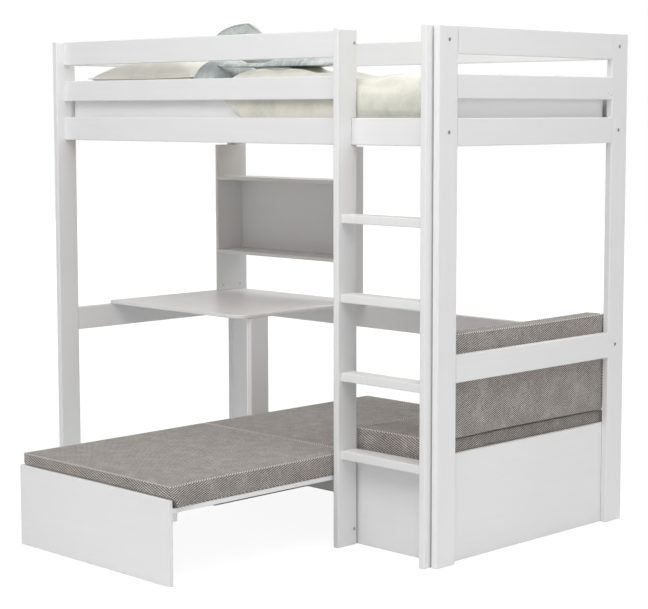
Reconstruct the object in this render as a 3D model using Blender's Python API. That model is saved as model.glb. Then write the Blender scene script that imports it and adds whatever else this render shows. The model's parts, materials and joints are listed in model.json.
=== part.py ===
"""Loft bed with a ladder, a desk with shelves, and a sofa corner whose guest bed pulls out.

Metres, +Z up. X runs along the bed from its left end, Y runs from the front to the back.
Places are measured from the floor at the loft frame's front left corner. One empty then moves
everything, so that the origin lies on the floor in the middle of the object.
"""

import math

import bmesh
import bpy
from mathutils import Matrix, Vector

# Clearances: between pieces that touch, and between pieces that slide past each other
FIT = 0.0003
SLIDE_FIT = 0.002

# Loft frame
LENGTH = 2.080
DEPTH = 1.030
HEIGHT = 1.785
BOARD_WIDE = 0.092
POST_THICK = 0.025
RAIL_THICK = 0.026
RAIL_SETBACK = 0.037
GUARD_WIDE = 0.080
GUARD_GAP = 0.0635
SIDE_RAIL_DROP = 0.391
DESK_RAIL_TOP = 0.705
EDGE_RADIUS = 0.003
EDGE_STEPS = 2
ROUND_PROFILE = 0.5

# Bolts through the right-hand posts
BOLT_HEAD_RADIUS = 0.0065
BOLT_HEAD_THICK = 0.005
BOLT_HEAD_SUNK = 0.0006
BOLT_SHANK_RADIUS = 0.003
BOLT_HOLE_CLEARANCE = 0.0004
BOLT_SOCKET_RADIUS = 0.0032
BOLT_SOCKET_DEEP = 0.003
RAIL_BOLT_BITE = 0.050
UPRIGHT_BOLT_BITE = 0.018
BOLT_SIDES = 16
SOCKET_SIDES = 6

# Ladder
LADDER_THICK = 0.025
LADDER_PROUD = 0.028
LADDER_OPENING = 0.3736
LADDER_POST_GAP = 0.0056
RUNG_DEEP = 0.065
RUNG_THICK = 0.030
RUNG_SETBACK = 0.013
RUNG_COUNT = 4
FIRST_RUNG_UNDERSIDE = 0.312
# The rungs are spaced as if one more came this far above the side rail's underside
NEXT_RUNG_LIFT = 0.008

# Slatted base and mattress of the loft bed
LEDGER_WIDE = 0.022
LEDGER_HIGH = 0.022
LEDGER_LIFT = 0.003
SLAT_THICK = 0.018
SLAT_WIDE = 0.070
SLAT_COUNT = 13
SLAT_END_MARGIN = 0.020
TAPE_WIDE = 0.030
TAPE_THICK = 0.0015
TAPE_BITE = 0.0005
TAPE_INSET = 0.180
MATTRESS_THICK = 0.145
MATTRESS_FRONT_GAP = 0.0155
MATTRESS_REAR_GAP = 0.0185
MATTRESS_END_GAP = 0.040
MATTRESS_CORNER_RADIUS = 0.040
MATTRESS_CORNER_STEPS = 5
MATTRESS_EDGE_RADIUS = 0.008

# Desk and shelf unit
DESK_THICK = 0.015
DESK_LEFT = 0.012
DESK_DEEP = 0.725
DESK_GUEST_GAP = 0.006
DESK_CORNER_RADIUS = 0.050
DESK_CORNER_STEPS = 8
DESK_LEG_FRONT_INSET = 0.054
SHELF_BOARD = 0.0145
SHELF_LEFT = 0.033
SHELF_RIGHT_INSET = 0.038
SHELF_DEEP = 0.153
SHELF_TOP_GAP = 0.031
# How far up the shelf unit the upper side of each shelf lies
LOWER_SHELF_SHARE = 0.2855
UPPER_SHELF_SHARE = 0.7852
BACK_PANEL_THICK = 0.010
THIN_EDGE_RADIUS = 0.0015

# Sofa corner
PANEL_THICK = 0.018
SOFA_FRONT_GAP = 0.006
SOFA_REAR_INSET = 0.050
SEAT_WIDE = 0.4177
SEAT_TOP = 0.337
SEAT_BOARD_THICK = 0.016
END_PANEL_TOP = 0.369
GUEST_SEAT_GAP = 0.016
GUEST_WIDE = 0.789
GUEST_BASE_TOP = 0.2529
GUEST_SLAT_THICK = 0.0155
GUEST_SLAT_WIDE = 0.060
GUEST_SLAT_MARGIN = 0.0025
GUEST_SLAT_COUNT = 9
SLAT_BITE = 0.0005
APRON_HIGH = 0.083

# Pull-out half of the guest bed
FRONT_PANEL_HIGH = 0.284
FRONT_PANEL_LIFT = 0.0005
FRONT_PANEL_PAST_LEFT = 0.017
FRONT_PANEL_PAST_RIGHT = 0.001
CLEAT_WIDE = 0.035
CLEAT_HIGH = 0.0335
CLEAT_INSET = 0.020
TIE_BAR_WIDE = 0.019

# Box cushions. The shares run up a side, from its lower to its upper seam: the height as a
# share of half the thickness, then how far that line lies in from the cushion's full size
CUSHION_THICK = 0.0765
CUSHION_CROWN = 0.004
CUSHION_DRAW_IN = 0.004
CUSHION_SEAM_INSET = 0.005
CUSHION_SEAM_GAP = 0.0008
CUSHION_GRID = 8
CUSHION_HEIGHT_SHARES = (-1.0, -0.75, -0.156, 0.354, 0.75, 1.0)
CUSHION_SIDE_SHARES = (1.0, 0.3, 0.0, 0.0, 0.3, 1.0)
HINGE_LIFT = 0.0006
# The end over the pull-out's front panel leans in below, so that it clears the panel as it lifts
FRONT_END_OVER_PANEL = 0.011
FRONT_END_INSET = 0.028
FRONT_END_SHARES = (1.0, 0.815, 0.375, 0.0, 0.0, 0.18)
GUEST_CUSHION_REAR_INSET = 0.010
SEAT_CUSHION_INSET = 0.003
SEAT_CUSHION_FRONT_INSET = 0.002
SEAT_CUSHION_REAR_INSET = 0.018
BACK_CUSHION_THICK = 0.080
BACK_CUSHION_HIGH = 0.356
BACK_CUSHION_FRONT_INSET = 0.005
BACK_CUSHION_REAR_INSET = 0.034

# Duvet
DUVET_RIGHT_INSET = 0.009
DUVET_THICK = 0.050
DUVET_END_THICK = 0.014
DUVET_SIDE_THICK = 0.0125
DUVET_SHOULDER = 0.050
DUVET_REAR_INSET = 0.070
DUVET_HEM_BELOW_RAIL = 0.024
DUVET_HEM_RISE = 0.084
DUVET_HEM_RISE_LONG = 0.130
DUVET_HEM_DROP = 0.006
DUVET_BULGE = 0.018
DUVET_FOLD_HIGH = 0.006
DUVET_FOLD_LONG = 0.235
DUVET_FOLD_SLANT = 0.8
DUVET_HEAP_HIGH = 0.052
DUVET_HEAP_INSET = (0.350, 0.3815)
DUVET_HEAP_SPREAD = (0.260, 0.240)
DUVET_SPANS = (15, 9, 1)
DUVET_TOP_POINTS = 10
DUVET_CORNER_POINTS = 4
DUVET_SIDE_POINTS = 5

# Pillows. Their sizes, and their places from the mattress's front left corner, are shares of
# the mattress's width, and so is the stretch at its head that the duvet leaves to them
PILLOW_GRID = 12
PILLOW_PINCH_SHARE = 0.05
PILLOW_SIZE_SHARES = (0.7414, 0.5287, 0.1897)
PILLOW_PLACE_SHARES = (0.0920, 0.0040)
PILLOW_UNDER_SHARE = 0.30
LEANING_SIZE_SHARES = (0.6437, 0.4368, 0.1379)
LEANING_PLACE_SHARES = (0.7356, 0.6500, 0.1506)
LEANING_TURN_DEGREES = (-1.4, 26.9, 69.8)
SMALL_SIZE_SHARES = (0.1724, 0.3103, 0.1609)
SMALL_PLACE_SHARES = (0.8368, 0.0017)
PILLOW_ROOM_SHARE = 1.0805

# Colour, roughness and metallic value of each finish
FINISHES = {
    "paint": ((0.78, 0.78, 0.79), 0.45, 0.0),
    "bare_wood": ((0.72, 0.58, 0.40), 0.65, 0.0),
    "steel": ((0.45, 0.45, 0.46), 0.35, 1.0),
    "tweed": ((0.20, 0.175, 0.155), 0.95, 0.0),
    "ticking": ((0.85, 0.85, 0.86), 0.90, 0.0),
    "cream_cotton": ((0.72, 0.69, 0.58), 0.90, 0.0),
    "blue_cotton": ((0.40, 0.46, 0.50), 0.90, 0.0),
}

# Places that follow from the sizes above
LOW_RAIL_UNDERSIDE = HEIGHT - SIDE_RAIL_DROP
LOW_RAIL_TOP = LOW_RAIL_UNDERSIDE + BOARD_WIDE
GUARD_UNDERSIDE = LOW_RAIL_TOP + GUARD_GAP
TOP_RAIL_UNDERSIDE = HEIGHT - BOARD_WIDE
DESK_RAIL_UNDERSIDE = DESK_RAIL_TOP - BOARD_WIDE
RAIL_INNER = RAIL_SETBACK + RAIL_THICK
REAR_RAIL_OUTER = DEPTH - RAIL_SETBACK
REAR_RAIL_INNER = DEPTH - RAIL_INNER
RAIL_LEFT = POST_THICK + FIT
RAIL_RIGHT = LENGTH - POST_THICK - FIT

RIGHT_UPRIGHT_RIGHT = LENGTH - POST_THICK - LADDER_POST_GAP
RIGHT_UPRIGHT_LEFT = RIGHT_UPRIGHT_RIGHT - LADDER_THICK
LEFT_UPRIGHT_RIGHT = RIGHT_UPRIGHT_LEFT - LADDER_OPENING
LEFT_UPRIGHT_LEFT = LEFT_UPRIGHT_RIGHT - LADDER_THICK
RUNG_STEP = (LOW_RAIL_UNDERSIDE + NEXT_RUNG_LIFT - FIRST_RUNG_UNDERSIDE) / RUNG_COUNT

LEDGER_UNDERSIDE = LOW_RAIL_UNDERSIDE + LEDGER_LIFT
SLAT_UNDERSIDE = LEDGER_UNDERSIDE + LEDGER_HIGH + FIT
MATTRESS_UNDERSIDE = SLAT_UNDERSIDE + SLAT_THICK + TAPE_THICK + FIT
MATTRESS_TOP = MATTRESS_UNDERSIDE + MATTRESS_THICK
MATTRESS_FRONT = RAIL_INNER + MATTRESS_FRONT_GAP
MATTRESS_REAR = REAR_RAIL_INNER - MATTRESS_REAR_GAP
MATTRESS_WIDE = MATTRESS_REAR - MATTRESS_FRONT
MATTRESS_LEFT = MATTRESS_END_GAP
MATTRESS_RIGHT = LENGTH - MATTRESS_END_GAP
DUVET_LEFT = MATTRESS_LEFT + MATTRESS_WIDE * PILLOW_ROOM_SHARE
DUVET_RIGHT = MATTRESS_RIGHT - DUVET_RIGHT_INSET

SOFA_FRONT = RAIL_INNER + SOFA_FRONT_GAP
SOFA_REAR = DEPTH - SOFA_REAR_INSET
SOFA_RIGHT = LENGTH - POST_THICK - FIT
SOFA_INNER_RIGHT = SOFA_RIGHT - PANEL_THICK - FIT
SEAT_LEFT = SOFA_RIGHT - SEAT_WIDE
GUEST_RIGHT = SEAT_LEFT - GUEST_SEAT_GAP
GUEST_LEFT = GUEST_RIGHT - GUEST_WIDE
GUEST_SLAT_UNDERSIDE = GUEST_BASE_TOP - GUEST_SLAT_THICK
BEARER_TOP = GUEST_SLAT_UNDERSIDE - FIT
LEFT_BOARD_TOP = BEARER_TOP - SLIDE_FIT

DESK_UNDERSIDE = DESK_RAIL_TOP + FIT
DESK_TOP = DESK_UNDERSIDE + DESK_THICK
DESK_RIGHT = GUEST_LEFT - DESK_GUEST_GAP
DESK_FRONT = REAR_RAIL_OUTER - DESK_DEEP
SHELF_FOOT = DESK_TOP + FIT
SHELF_TOP = LOW_RAIL_UNDERSIDE - SHELF_TOP_GAP
LOWER_SHELF_TOP = SHELF_FOOT + (SHELF_TOP - SHELF_FOOT) * LOWER_SHELF_SHARE
UPPER_SHELF_TOP = SHELF_FOOT + (SHELF_TOP - SHELF_FOOT) * UPPER_SHELF_SHARE
SHELF_RIGHT = DESK_RIGHT - SHELF_RIGHT_INSET
SHELF_REAR = REAR_RAIL_OUTER
SHELF_FRONT = SHELF_REAR - SHELF_DEEP

# Pushed in, the pull-out's front panel stands against the sofa's front, its cleat against the
# apron and its tie bar against the rear rail. Pulled out, its tie bar comes up to the apron
APRON_FRONT = SOFA_FRONT + CLEAT_WIDE + SLIDE_FIT
APRON_REAR = APRON_FRONT + PANEL_THICK
TIE_BAR_FRONT = APRON_REAR + SLIDE_FIT
TIE_BAR_REAR = TIE_BAR_FRONT + TIE_BAR_WIDE
PULL_OUT_TRAVEL = SOFA_REAR - PANEL_THICK - SLIDE_FIT - TIE_BAR_REAR
PANEL_REAR = SOFA_FRONT - PULL_OUT_TRAVEL
PULL_OUT_FRONT = PANEL_REAR - PANEL_THICK
CLEAT_REAR = PANEL_REAR + CLEAT_WIDE

CUSHION_SEAM = SOFA_FRONT + SLIDE_FIT
CUSHION_UNDERSIDE = GUEST_BASE_TOP + FIT
FOLD_Y = CUSHION_SEAM - CUSHION_SEAM_GAP / 2
FOLD_Z = CUSHION_UNDERSIDE + CUSHION_THICK + CUSHION_CROWN + HINGE_LIFT


def clear_objects():
    for old in list(bpy.data.objects):
        bpy.data.objects.remove(old, do_unlink=True)


def add_empty(name, place):
    empty = bpy.data.objects.new(name, None)
    empty.location = place
    bpy.context.scene.collection.objects.link(empty)
    return empty


def add_finish(obj, finish):
    """Give one object its own material."""
    colour, roughness, metallic = FINISHES[finish]
    material = bpy.data.materials.new(obj.name + "_finish")
    material.use_nodes = True
    shader = material.node_tree.nodes["Principled BSDF"]
    shader.inputs["Base Color"].default_value = (*colour, 1.0)
    shader.inputs["Roughness"].default_value = roughness
    shader.inputs["Metallic"].default_value = metallic
    material.diffuse_color = (*colour, 1.0)
    obj.data.materials.append(material)


def add_object(name, bm, finish, middle=(0, 0, 0), parent=None):
    """Turn a bmesh, drawn round the point middle, into an object whose origin is that point."""
    bmesh.ops.recalc_face_normals(bm, faces=bm.faces)
    if bm.calc_volume(signed=True) < 0:
        bmesh.ops.reverse_faces(bm, faces=bm.faces)
    mesh = bpy.data.meshes.new(name)
    bm.to_mesh(mesh)
    bm.free()
    obj = bpy.data.objects.new(name, mesh)
    obj.location = middle
    if parent:
        obj.parent = parent
        obj.location -= parent.location
    bpy.context.scene.collection.objects.link(obj)
    if finish:
        add_finish(obj, finish)
    return obj


def add_helper(name, bm, middle=(0, 0, 0), parent=None):
    """A solid that only shapes others, hidden from view."""
    obj = add_object(name, bm, None, middle, parent)
    obj.hide_render = True
    obj.display_type = "WIRE"
    return obj


def combine(obj, operation, helper):
    modifier = obj.modifiers.new(operation.lower(), "BOOLEAN")
    modifier.operation = operation
    modifier.solver = "EXACT"
    modifier.object = helper


def add_box(bm, low, high, middle=(0, 0, 0)):
    """A box between two corners, drawn round the point middle."""
    low, high = Vector(low), Vector(high)
    matrix = Matrix.Translation((low + high) / 2 - Vector(middle))
    bmesh.ops.create_cube(bm, size=1, matrix=matrix @ Matrix.Diagonal((*(high - low), 1)))


def add_prism(bm, outline, axis, low, high, middle=(0, 0, 0)):
    """A flat outline in the other two axes, pushed along one axis from low to high."""
    others = [i for i in range(3) if i != axis]
    verts = []
    for point in outline:
        place = Vector()
        place[axis] = low
        place[others[0]], place[others[1]] = point
        verts.append(bm.verts.new(place - Vector(middle)))
    face = bm.faces.new(verts)
    pushed = bmesh.ops.extrude_face_region(bm, geom=[face])
    moved = [item for item in pushed["geom"] if isinstance(item, bmesh.types.BMVert)]
    push = Vector()
    push[axis] = high - low
    bmesh.ops.translate(bm, verts=moved, vec=push)


def round_edges(bm, edges, radius, steps):
    bmesh.ops.bevel(bm, geom=edges, offset=radius, offset_type="OFFSET", segments=steps,
                    profile=ROUND_PROFILE, affect="EDGES", clamp_overlap=True)


def board(name, low, high, finish="paint", parent=None, round_ends=False,
          radius=EDGE_RADIUS, steps=EDGE_STEPS):
    """A board with its long edges rounded over, and its end edges too if asked."""
    low, high = Vector(low), Vector(high)
    size = high - low
    middle = (low + high) / 2
    bm = bmesh.new()
    add_box(bm, low, high, middle)
    longest = max(range(3), key=lambda axis: size[axis])

    def runs_along(edge):
        return abs(edge.verts[1].co[longest] - edge.verts[0].co[longest]) > size[longest] / 2

    edges = [edge for edge in bm.edges if round_ends or runs_along(edge)]
    round_edges(bm, edges, radius, steps)
    return add_object(name, bm, finish, middle, parent)


def plate(name, outline, axis, low, high, finish="paint", radius=EDGE_RADIUS):
    """An outline pushed along one axis, with the edges round its two faces rounded over."""
    others = [i for i in range(3) if i != axis]
    middle = Vector()
    middle[axis] = (low + high) / 2
    for i, other in enumerate(others):
        values = [point[i] for point in outline]
        middle[other] = (min(values) + max(values)) / 2
    bm = bmesh.new()
    add_prism(bm, outline, axis, low, high, middle)

    def is_rim(edge):
        return abs(edge.verts[0].co[axis] - edge.verts[1].co[axis]) < (high - low) / 2

    round_edges(bm, [edge for edge in bm.edges if is_rim(edge)], radius, EDGE_STEPS)
    return add_object(name, bm, finish, middle)


def turned_along_x(profile, sides):
    """A closed solid of revolution round X, from points of x and radius."""
    bm = bmesh.new()
    rings = []
    for x, radius in profile:
        ring = []
        for i in range(sides):
            angle = 2 * math.pi * i / sides
            ring.append(bm.verts.new((x, radius * math.cos(angle), radius * math.sin(angle))))
        rings.append(ring)
    for ring, following in zip(rings, rings[1:]):
        for i in range(sides):
            j = (i + 1) % sides
            bm.faces.new((ring[i], ring[j], following[j], following[i]))
    bm.faces.new(rings[0])
    bm.faces.new(rings[-1])
    return bm


def box_cushion(name, size, middle, turn=(0, 0, 0), parent=None, own_front_end=False):
    """A box cushion, thin along its own Z: crowned on top, its sides drawn in between corners."""
    half = Vector(size) / 2
    insets = [share * CUSHION_SEAM_INSET for share in CUSHION_SIDE_SHARES]
    front = [share * FRONT_END_INSET for share in FRONT_END_SHARES] if own_front_end else insets
    top = len(CUSHION_HEIGHT_SHARES) - 1
    bm = bmesh.new()
    verts = {}

    def vert(i, j, k):
        if (i, j, k) not in verts:
            u = 2 * i / CUSHION_GRID - 1
            v = 2 * j / CUSHION_GRID - 1
            end = front[k] if v < 0 else insets[k]
            x = u * (half.x - insets[k] - CUSHION_DRAW_IN * (1 - v * v))
            y = v * (half.y - end - CUSHION_DRAW_IN * (1 - u * u))
            z = CUSHION_HEIGHT_SHARES[k] * half.z
            if k == top:
                z += CUSHION_CROWN * (1 - u * u) * (1 - v * v)
            verts[i, j, k] = bm.verts.new((x, y, z))
        return verts[i, j, k]

    for i in range(CUSHION_GRID):
        for j in range(CUSHION_GRID):
            for k in (0, top):
                bm.faces.new((vert(i, j, k), vert(i + 1, j, k), vert(i + 1, j + 1, k),
                              vert(i, j + 1, k)))
        for k in range(top):
            for j in (0, CUSHION_GRID):
                bm.faces.new((vert(i, j, k), vert(i + 1, j, k), vert(i + 1, j, k + 1),
                              vert(i, j, k + 1)))
                bm.faces.new((vert(j, i, k), vert(j, i + 1, k), vert(j, i + 1, k + 1),
                              vert(j, i, k + 1)))
    obj = add_object(name, bm, "tweed", middle, parent)
    obj.rotation_euler = turn
    obj.data.shade_smooth()
    return obj


def pillow(name, size, middle, finish, turn=(0, 0, 0), under_share=0.5):
    """A filled pillow: full in the middle, thin along its seam, with pointed corners."""
    half = Vector(size) / 2
    bm = bmesh.new()
    verts = {}

    def vert(i, j, side):
        u = 2 * i / PILLOW_GRID - 1
        v = 2 * j / PILLOW_GRID - 1
        key = (i, j, 0 if abs(u) == 1 or abs(v) == 1 else side)
        if key not in verts:
            share = under_share if side < 0 else 1 - under_share
            x = u * half.x * (1 - PILLOW_PINCH_SHARE * (1 - v * v))
            y = v * half.y * (1 - PILLOW_PINCH_SHARE * (1 - u * u))
            z = side * share * 2 * half.z * math.sqrt((1 - u * u) * (1 - v * v))
            verts[key] = bm.verts.new((x, y, z))
        return verts[key]

    for i in range(PILLOW_GRID):
        for j in range(PILLOW_GRID):
            for side in (-1, 1):
                bm.faces.new((vert(i, j, side), vert(i + 1, j, side), vert(i + 1, j + 1, side),
                              vert(i, j + 1, side)))
    obj = add_object(name, bm, finish, middle)
    obj.rotation_euler = turn
    obj.data.shade_smooth()
    return obj


def make_posts():
    posts = {}
    for side, left in (("left", 0), ("right", LENGTH - POST_THICK)):
        for face, front in (("front", 0), ("rear", DEPTH - BOARD_WIDE)):
            name = f"{side}_{face}_post"
            high = (left + POST_THICK, front + BOARD_WIDE, HEIGHT)
            posts[name] = board(name, (left, front, 0), high, round_ends=True)
    return posts


def make_long_rails():
    """Rails along X. The front guard rails end at the ladder."""
    ladder = LEFT_UPRIGHT_LEFT - FIT
    rear = REAR_RAIL_INNER
    rows = (
        ("front_top_guard_rail", RAIL_SETBACK, ladder, TOP_RAIL_UNDERSIDE, BOARD_WIDE),
        ("front_middle_guard_rail", RAIL_SETBACK, ladder, GUARD_UNDERSIDE, GUARD_WIDE),
        ("front_side_rail", RAIL_SETBACK, RAIL_RIGHT, LOW_RAIL_UNDERSIDE, BOARD_WIDE),
        ("rear_top_guard_rail", rear, RAIL_RIGHT, TOP_RAIL_UNDERSIDE, BOARD_WIDE),
        ("rear_middle_guard_rail", rear, RAIL_RIGHT, LOW_RAIL_TOP + FIT, GUARD_WIDE),
        ("rear_side_rail", rear, RAIL_RIGHT, LOW_RAIL_UNDERSIDE, BOARD_WIDE),
        ("rear_desk_height_rail", rear, RAIL_RIGHT, DESK_RAIL_UNDERSIDE, BOARD_WIDE),
    )
    rails = {}
    for name, front, right, underside, wide in rows:
        high = (right, front + RAIL_THICK, underside + wide)
        rails[name] = board(name, (RAIL_LEFT, front, underside), high)
    return rails


def make_end_rails():
    """Rails along Y, flush with the outer faces of the two end frames."""
    front = BOARD_WIDE + FIT
    rear = DEPTH - BOARD_WIDE - FIT
    rows = (
        ("top_guard_rail", TOP_RAIL_UNDERSIDE, BOARD_WIDE),
        ("middle_guard_rail", GUARD_UNDERSIDE, GUARD_WIDE),
        ("bed_rail", LOW_RAIL_UNDERSIDE, BOARD_WIDE),
        ("desk_height_rail", DESK_RAIL_UNDERSIDE, BOARD_WIDE),
    )
    for side, left in (("left", 0), ("right", LENGTH - POST_THICK)):
        for row, underside, wide in rows:
            board(f"{side}_end_{row}", (left, front, underside),
                  (left + POST_THICK, rear, underside + wide))


def make_ladder():
    """Two uprights, notched behind over the side rail, and the rungs between them."""
    front = -LADDER_PROUD
    rear = RAIL_INNER
    notch_front = RAIL_SETBACK - FIT
    notch_low = LOW_RAIL_UNDERSIDE - FIT
    notch_high = LOW_RAIL_TOP + FIT
    outline = ((front, 0), (rear, 0), (rear, notch_low), (notch_front, notch_low),
               (notch_front, notch_high), (rear, notch_high), (rear, HEIGHT), (front, HEIGHT))
    uprights = {}
    for side, left in (("left", LEFT_UPRIGHT_LEFT), ("right", RIGHT_UPRIGHT_LEFT)):
        uprights[side] = plate(f"ladder_{side}_upright", outline, 0, left, left + LADDER_THICK)
    rung_front = front + RUNG_SETBACK
    for i in range(RUNG_COUNT):
        underside = FIRST_RUNG_UNDERSIDE + i * RUNG_STEP
        board(f"ladder_rung_{i + 1}", (LEFT_UPRIGHT_RIGHT + FIT, rung_front, underside),
              (RIGHT_UPRIGHT_LEFT - FIT, rung_front + RUNG_DEEP, underside + RUNG_THICK))
    return uprights


def make_bolts(posts, rails, upright):
    """Socket bolts through the right-hand posts, into the rails' ends and the ladder."""
    front = RAIL_SETBACK + RAIL_THICK / 2
    rear = DEPTH - front
    top = TOP_RAIL_UNDERSIDE + BOARD_WIDE / 2
    low = LOW_RAIL_UNDERSIDE + BOARD_WIDE / 2
    desk = DESK_RAIL_UNDERSIDE + BOARD_WIDE / 2
    rail_tip = RAIL_RIGHT - RAIL_BOLT_BITE
    upright_tip = RIGHT_UPRIGHT_RIGHT - UPRIGHT_BOLT_BITE
    rows = (
        ("front_ladder_bolt", "right_front_post", upright, front, top, upright_tip),
        ("front_side_rail_bolt", "right_front_post", rails["front_side_rail"], front, low, rail_tip),
        ("rear_top_bolt", "right_rear_post", rails["rear_top_guard_rail"], rear, top, rail_tip),
        ("rear_side_rail_bolt", "right_rear_post", rails["rear_side_rail"], rear, low, rail_tip),
        ("rear_desk_rail_bolt", "right_rear_post", rails["rear_desk_height_rail"], rear, desk,
         rail_tip),
    )
    head_out = LENGTH - BOLT_HEAD_SUNK
    loose = BOLT_HOLE_CLEARANCE
    for name, post, held, y, z, tip in rows:
        shank = tip - head_out
        middle = (head_out, y, z)
        profile = ((shank, BOLT_SHANK_RADIUS), (-BOLT_HEAD_THICK, BOLT_SHANK_RADIUS),
                   (-BOLT_HEAD_THICK, BOLT_HEAD_RADIUS), (0, BOLT_HEAD_RADIUS))
        bolt = add_object(name, turned_along_x(profile, BOLT_SIDES), "steel", middle)
        socket_profile = ((-BOLT_SOCKET_DEEP, BOLT_SOCKET_RADIUS),
                          (BOLT_SOCKET_DEEP, BOLT_SOCKET_RADIUS))
        socket = turned_along_x(socket_profile, SOCKET_SIDES)
        combine(bolt, "DIFFERENCE", add_helper(name + "_socket", socket, middle))
        hole_profile = ((shank - loose, BOLT_SHANK_RADIUS + loose),
                        (-BOLT_HEAD_THICK - loose, BOLT_SHANK_RADIUS + loose),
                        (-BOLT_HEAD_THICK - loose, BOLT_HEAD_RADIUS + loose),
                        (BOLT_HEAD_THICK, BOLT_HEAD_RADIUS + loose))
        hole = add_helper(name + "_hole", turned_along_x(hole_profile, BOLT_SIDES), middle)
        combine(posts[post], "DIFFERENCE", hole)
        combine(held, "DIFFERENCE", hole)


def make_slatted_base():
    """Ledgers on the side rails, and slats joined by two tapes."""
    front = RAIL_INNER + FIT
    rear = REAR_RAIL_INNER - FIT
    for name, low in (("front_ledger", front), ("rear_ledger", rear - LEDGER_WIDE)):
        board(name, (RAIL_LEFT, low, LEDGER_UNDERSIDE),
              (RAIL_RIGHT, low + LEDGER_WIDE, LEDGER_UNDERSIDE + LEDGER_HIGH), "bare_wood", steps=1)
    first = RAIL_LEFT + SLAT_END_MARGIN
    last = RAIL_RIGHT - SLAT_END_MARGIN - SLAT_WIDE
    slat_top = SLAT_UNDERSIDE + SLAT_THICK
    slats = bmesh.new()
    for i in range(SLAT_COUNT):
        x = first + (last - first) * i / (SLAT_COUNT - 1)
        add_box(slats, (x, front, SLAT_UNDERSIDE), (x + SLAT_WIDE, rear, slat_top))
    tapes = bmesh.new()
    for y in (front + TAPE_INSET, rear - TAPE_INSET - TAPE_WIDE):
        add_box(tapes, (first + TAPE_BITE, y, slat_top - TAPE_BITE),
                (last + SLAT_WIDE - TAPE_BITE, y + TAPE_WIDE, slat_top + TAPE_THICK))
    base = add_object("slatted_base", slats, "bare_wood")
    combine(base, "UNION", add_helper("slat_tapes", tapes))


def rounded_rectangle(low, high, radius, steps):
    """The outline of a rectangle, with an arc at each corner."""
    corners = ((high[0] - radius, high[1] - radius), (low[0] + radius, high[1] - radius),
               (low[0] + radius, low[1] + radius), (high[0] - radius, low[1] + radius))
    outline = []
    for quarter, (x, y) in enumerate(corners):
        for i in range(steps + 1):
            angle = math.pi / 2 * (quarter + i / steps)
            outline.append((x + radius * math.cos(angle), y + radius * math.sin(angle)))
    return outline


def make_mattress():
    outline = rounded_rectangle((MATTRESS_LEFT, MATTRESS_FRONT), (MATTRESS_RIGHT, MATTRESS_REAR),
                                MATTRESS_CORNER_RADIUS, MATTRESS_CORNER_STEPS)
    plate("mattress", outline, 2, MATTRESS_UNDERSIDE, MATTRESS_TOP, "ticking",
          MATTRESS_EDGE_RADIUS)


def duvet_height(x, y):
    """How far the duvet's upper side stands above the mattress."""
    share = min(1, min(x - DUVET_LEFT, DUVET_RIGHT - x) / DUVET_SHOULDER)
    rounded = math.sqrt(1 - (1 - share) ** 2)
    heap_x = (x - DUVET_LEFT - DUVET_HEAP_INSET[0]) / DUVET_HEAP_SPREAD[0]
    heap_y = (y - MATTRESS_FRONT - DUVET_HEAP_INSET[1]) / DUVET_HEAP_SPREAD[1]
    heap = DUVET_HEAP_HIGH * math.exp(-heap_x * heap_x - heap_y * heap_y)
    folds = DUVET_FOLD_HIGH * math.sin(2 * math.pi * (x + DUVET_FOLD_SLANT * y) / DUVET_FOLD_LONG)
    full = DUVET_THICK + heap + folds
    return DUVET_END_THICK + (full - DUVET_END_THICK) * rounded


def duvet_section(x):
    """The duvet's inner and outer points at one place along the bed, from its rear to its hem."""
    rear = MATTRESS_REAR - DUVET_REAR_INSET
    turn = MATTRESS_FRONT + MATTRESS_EDGE_RADIUS
    inner_top = MATTRESS_TOP + FIT
    inner_face = MATTRESS_FRONT - FIT
    outer_face = inner_face - DUVET_SIDE_THICK
    inner, outer = [], []
    for i in range(DUVET_TOP_POINTS):
        y = rear + (turn - rear) * i / DUVET_TOP_POINTS
        rise = duvet_height(x, y) * min(1, (i + 1) / 2)
        inner.append((y, inner_top))
        outer.append((y, inner_top + rise))
    rise = duvet_height(x, turn)
    for i in range(DUVET_CORNER_POINTS):
        angle = math.pi / 2 * i / DUVET_CORNER_POINTS
        inner.append((turn - (turn - inner_face) * math.sin(angle),
                      inner_top - MATTRESS_EDGE_RADIUS * (1 - math.cos(angle))))
        outer.append((turn - (turn - outer_face) * math.sin(angle),
                      inner_top - MATTRESS_EDGE_RADIUS
                      + (rise + MATTRESS_EDGE_RADIUS) * math.cos(angle)))
    start = inner_top - MATTRESS_EDGE_RADIUS
    left_share = max(0, 1 - (x - DUVET_LEFT) / DUVET_HEM_RISE_LONG)
    hem = LOW_RAIL_TOP - DUVET_HEM_BELOW_RAIL + DUVET_HEM_RISE * left_share ** 1.5
    stop = max(LOW_RAIL_TOP + SLIDE_FIT, hem + DUVET_HEM_DROP)
    across = (x - LEFT_UPRIGHT_RIGHT) / LADDER_OPENING
    in_opening = math.sqrt(math.sin(math.pi * across)) if 0 < across < 1 else 0
    for i in range(DUVET_SIDE_POINTS):
        share = i / (DUVET_SIDE_POINTS - 1)
        z = start + (stop - start) * share
        bulge = DUVET_BULGE * in_opening * math.sin(math.pi * share) ** 0.5 if share < 1 else 0
        inner.append((inner_face, z))
        outer.append((outer_face - bulge, z))
    inner.append((inner_face, hem))
    outer.append((outer_face, hem))
    return inner, outer


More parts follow.
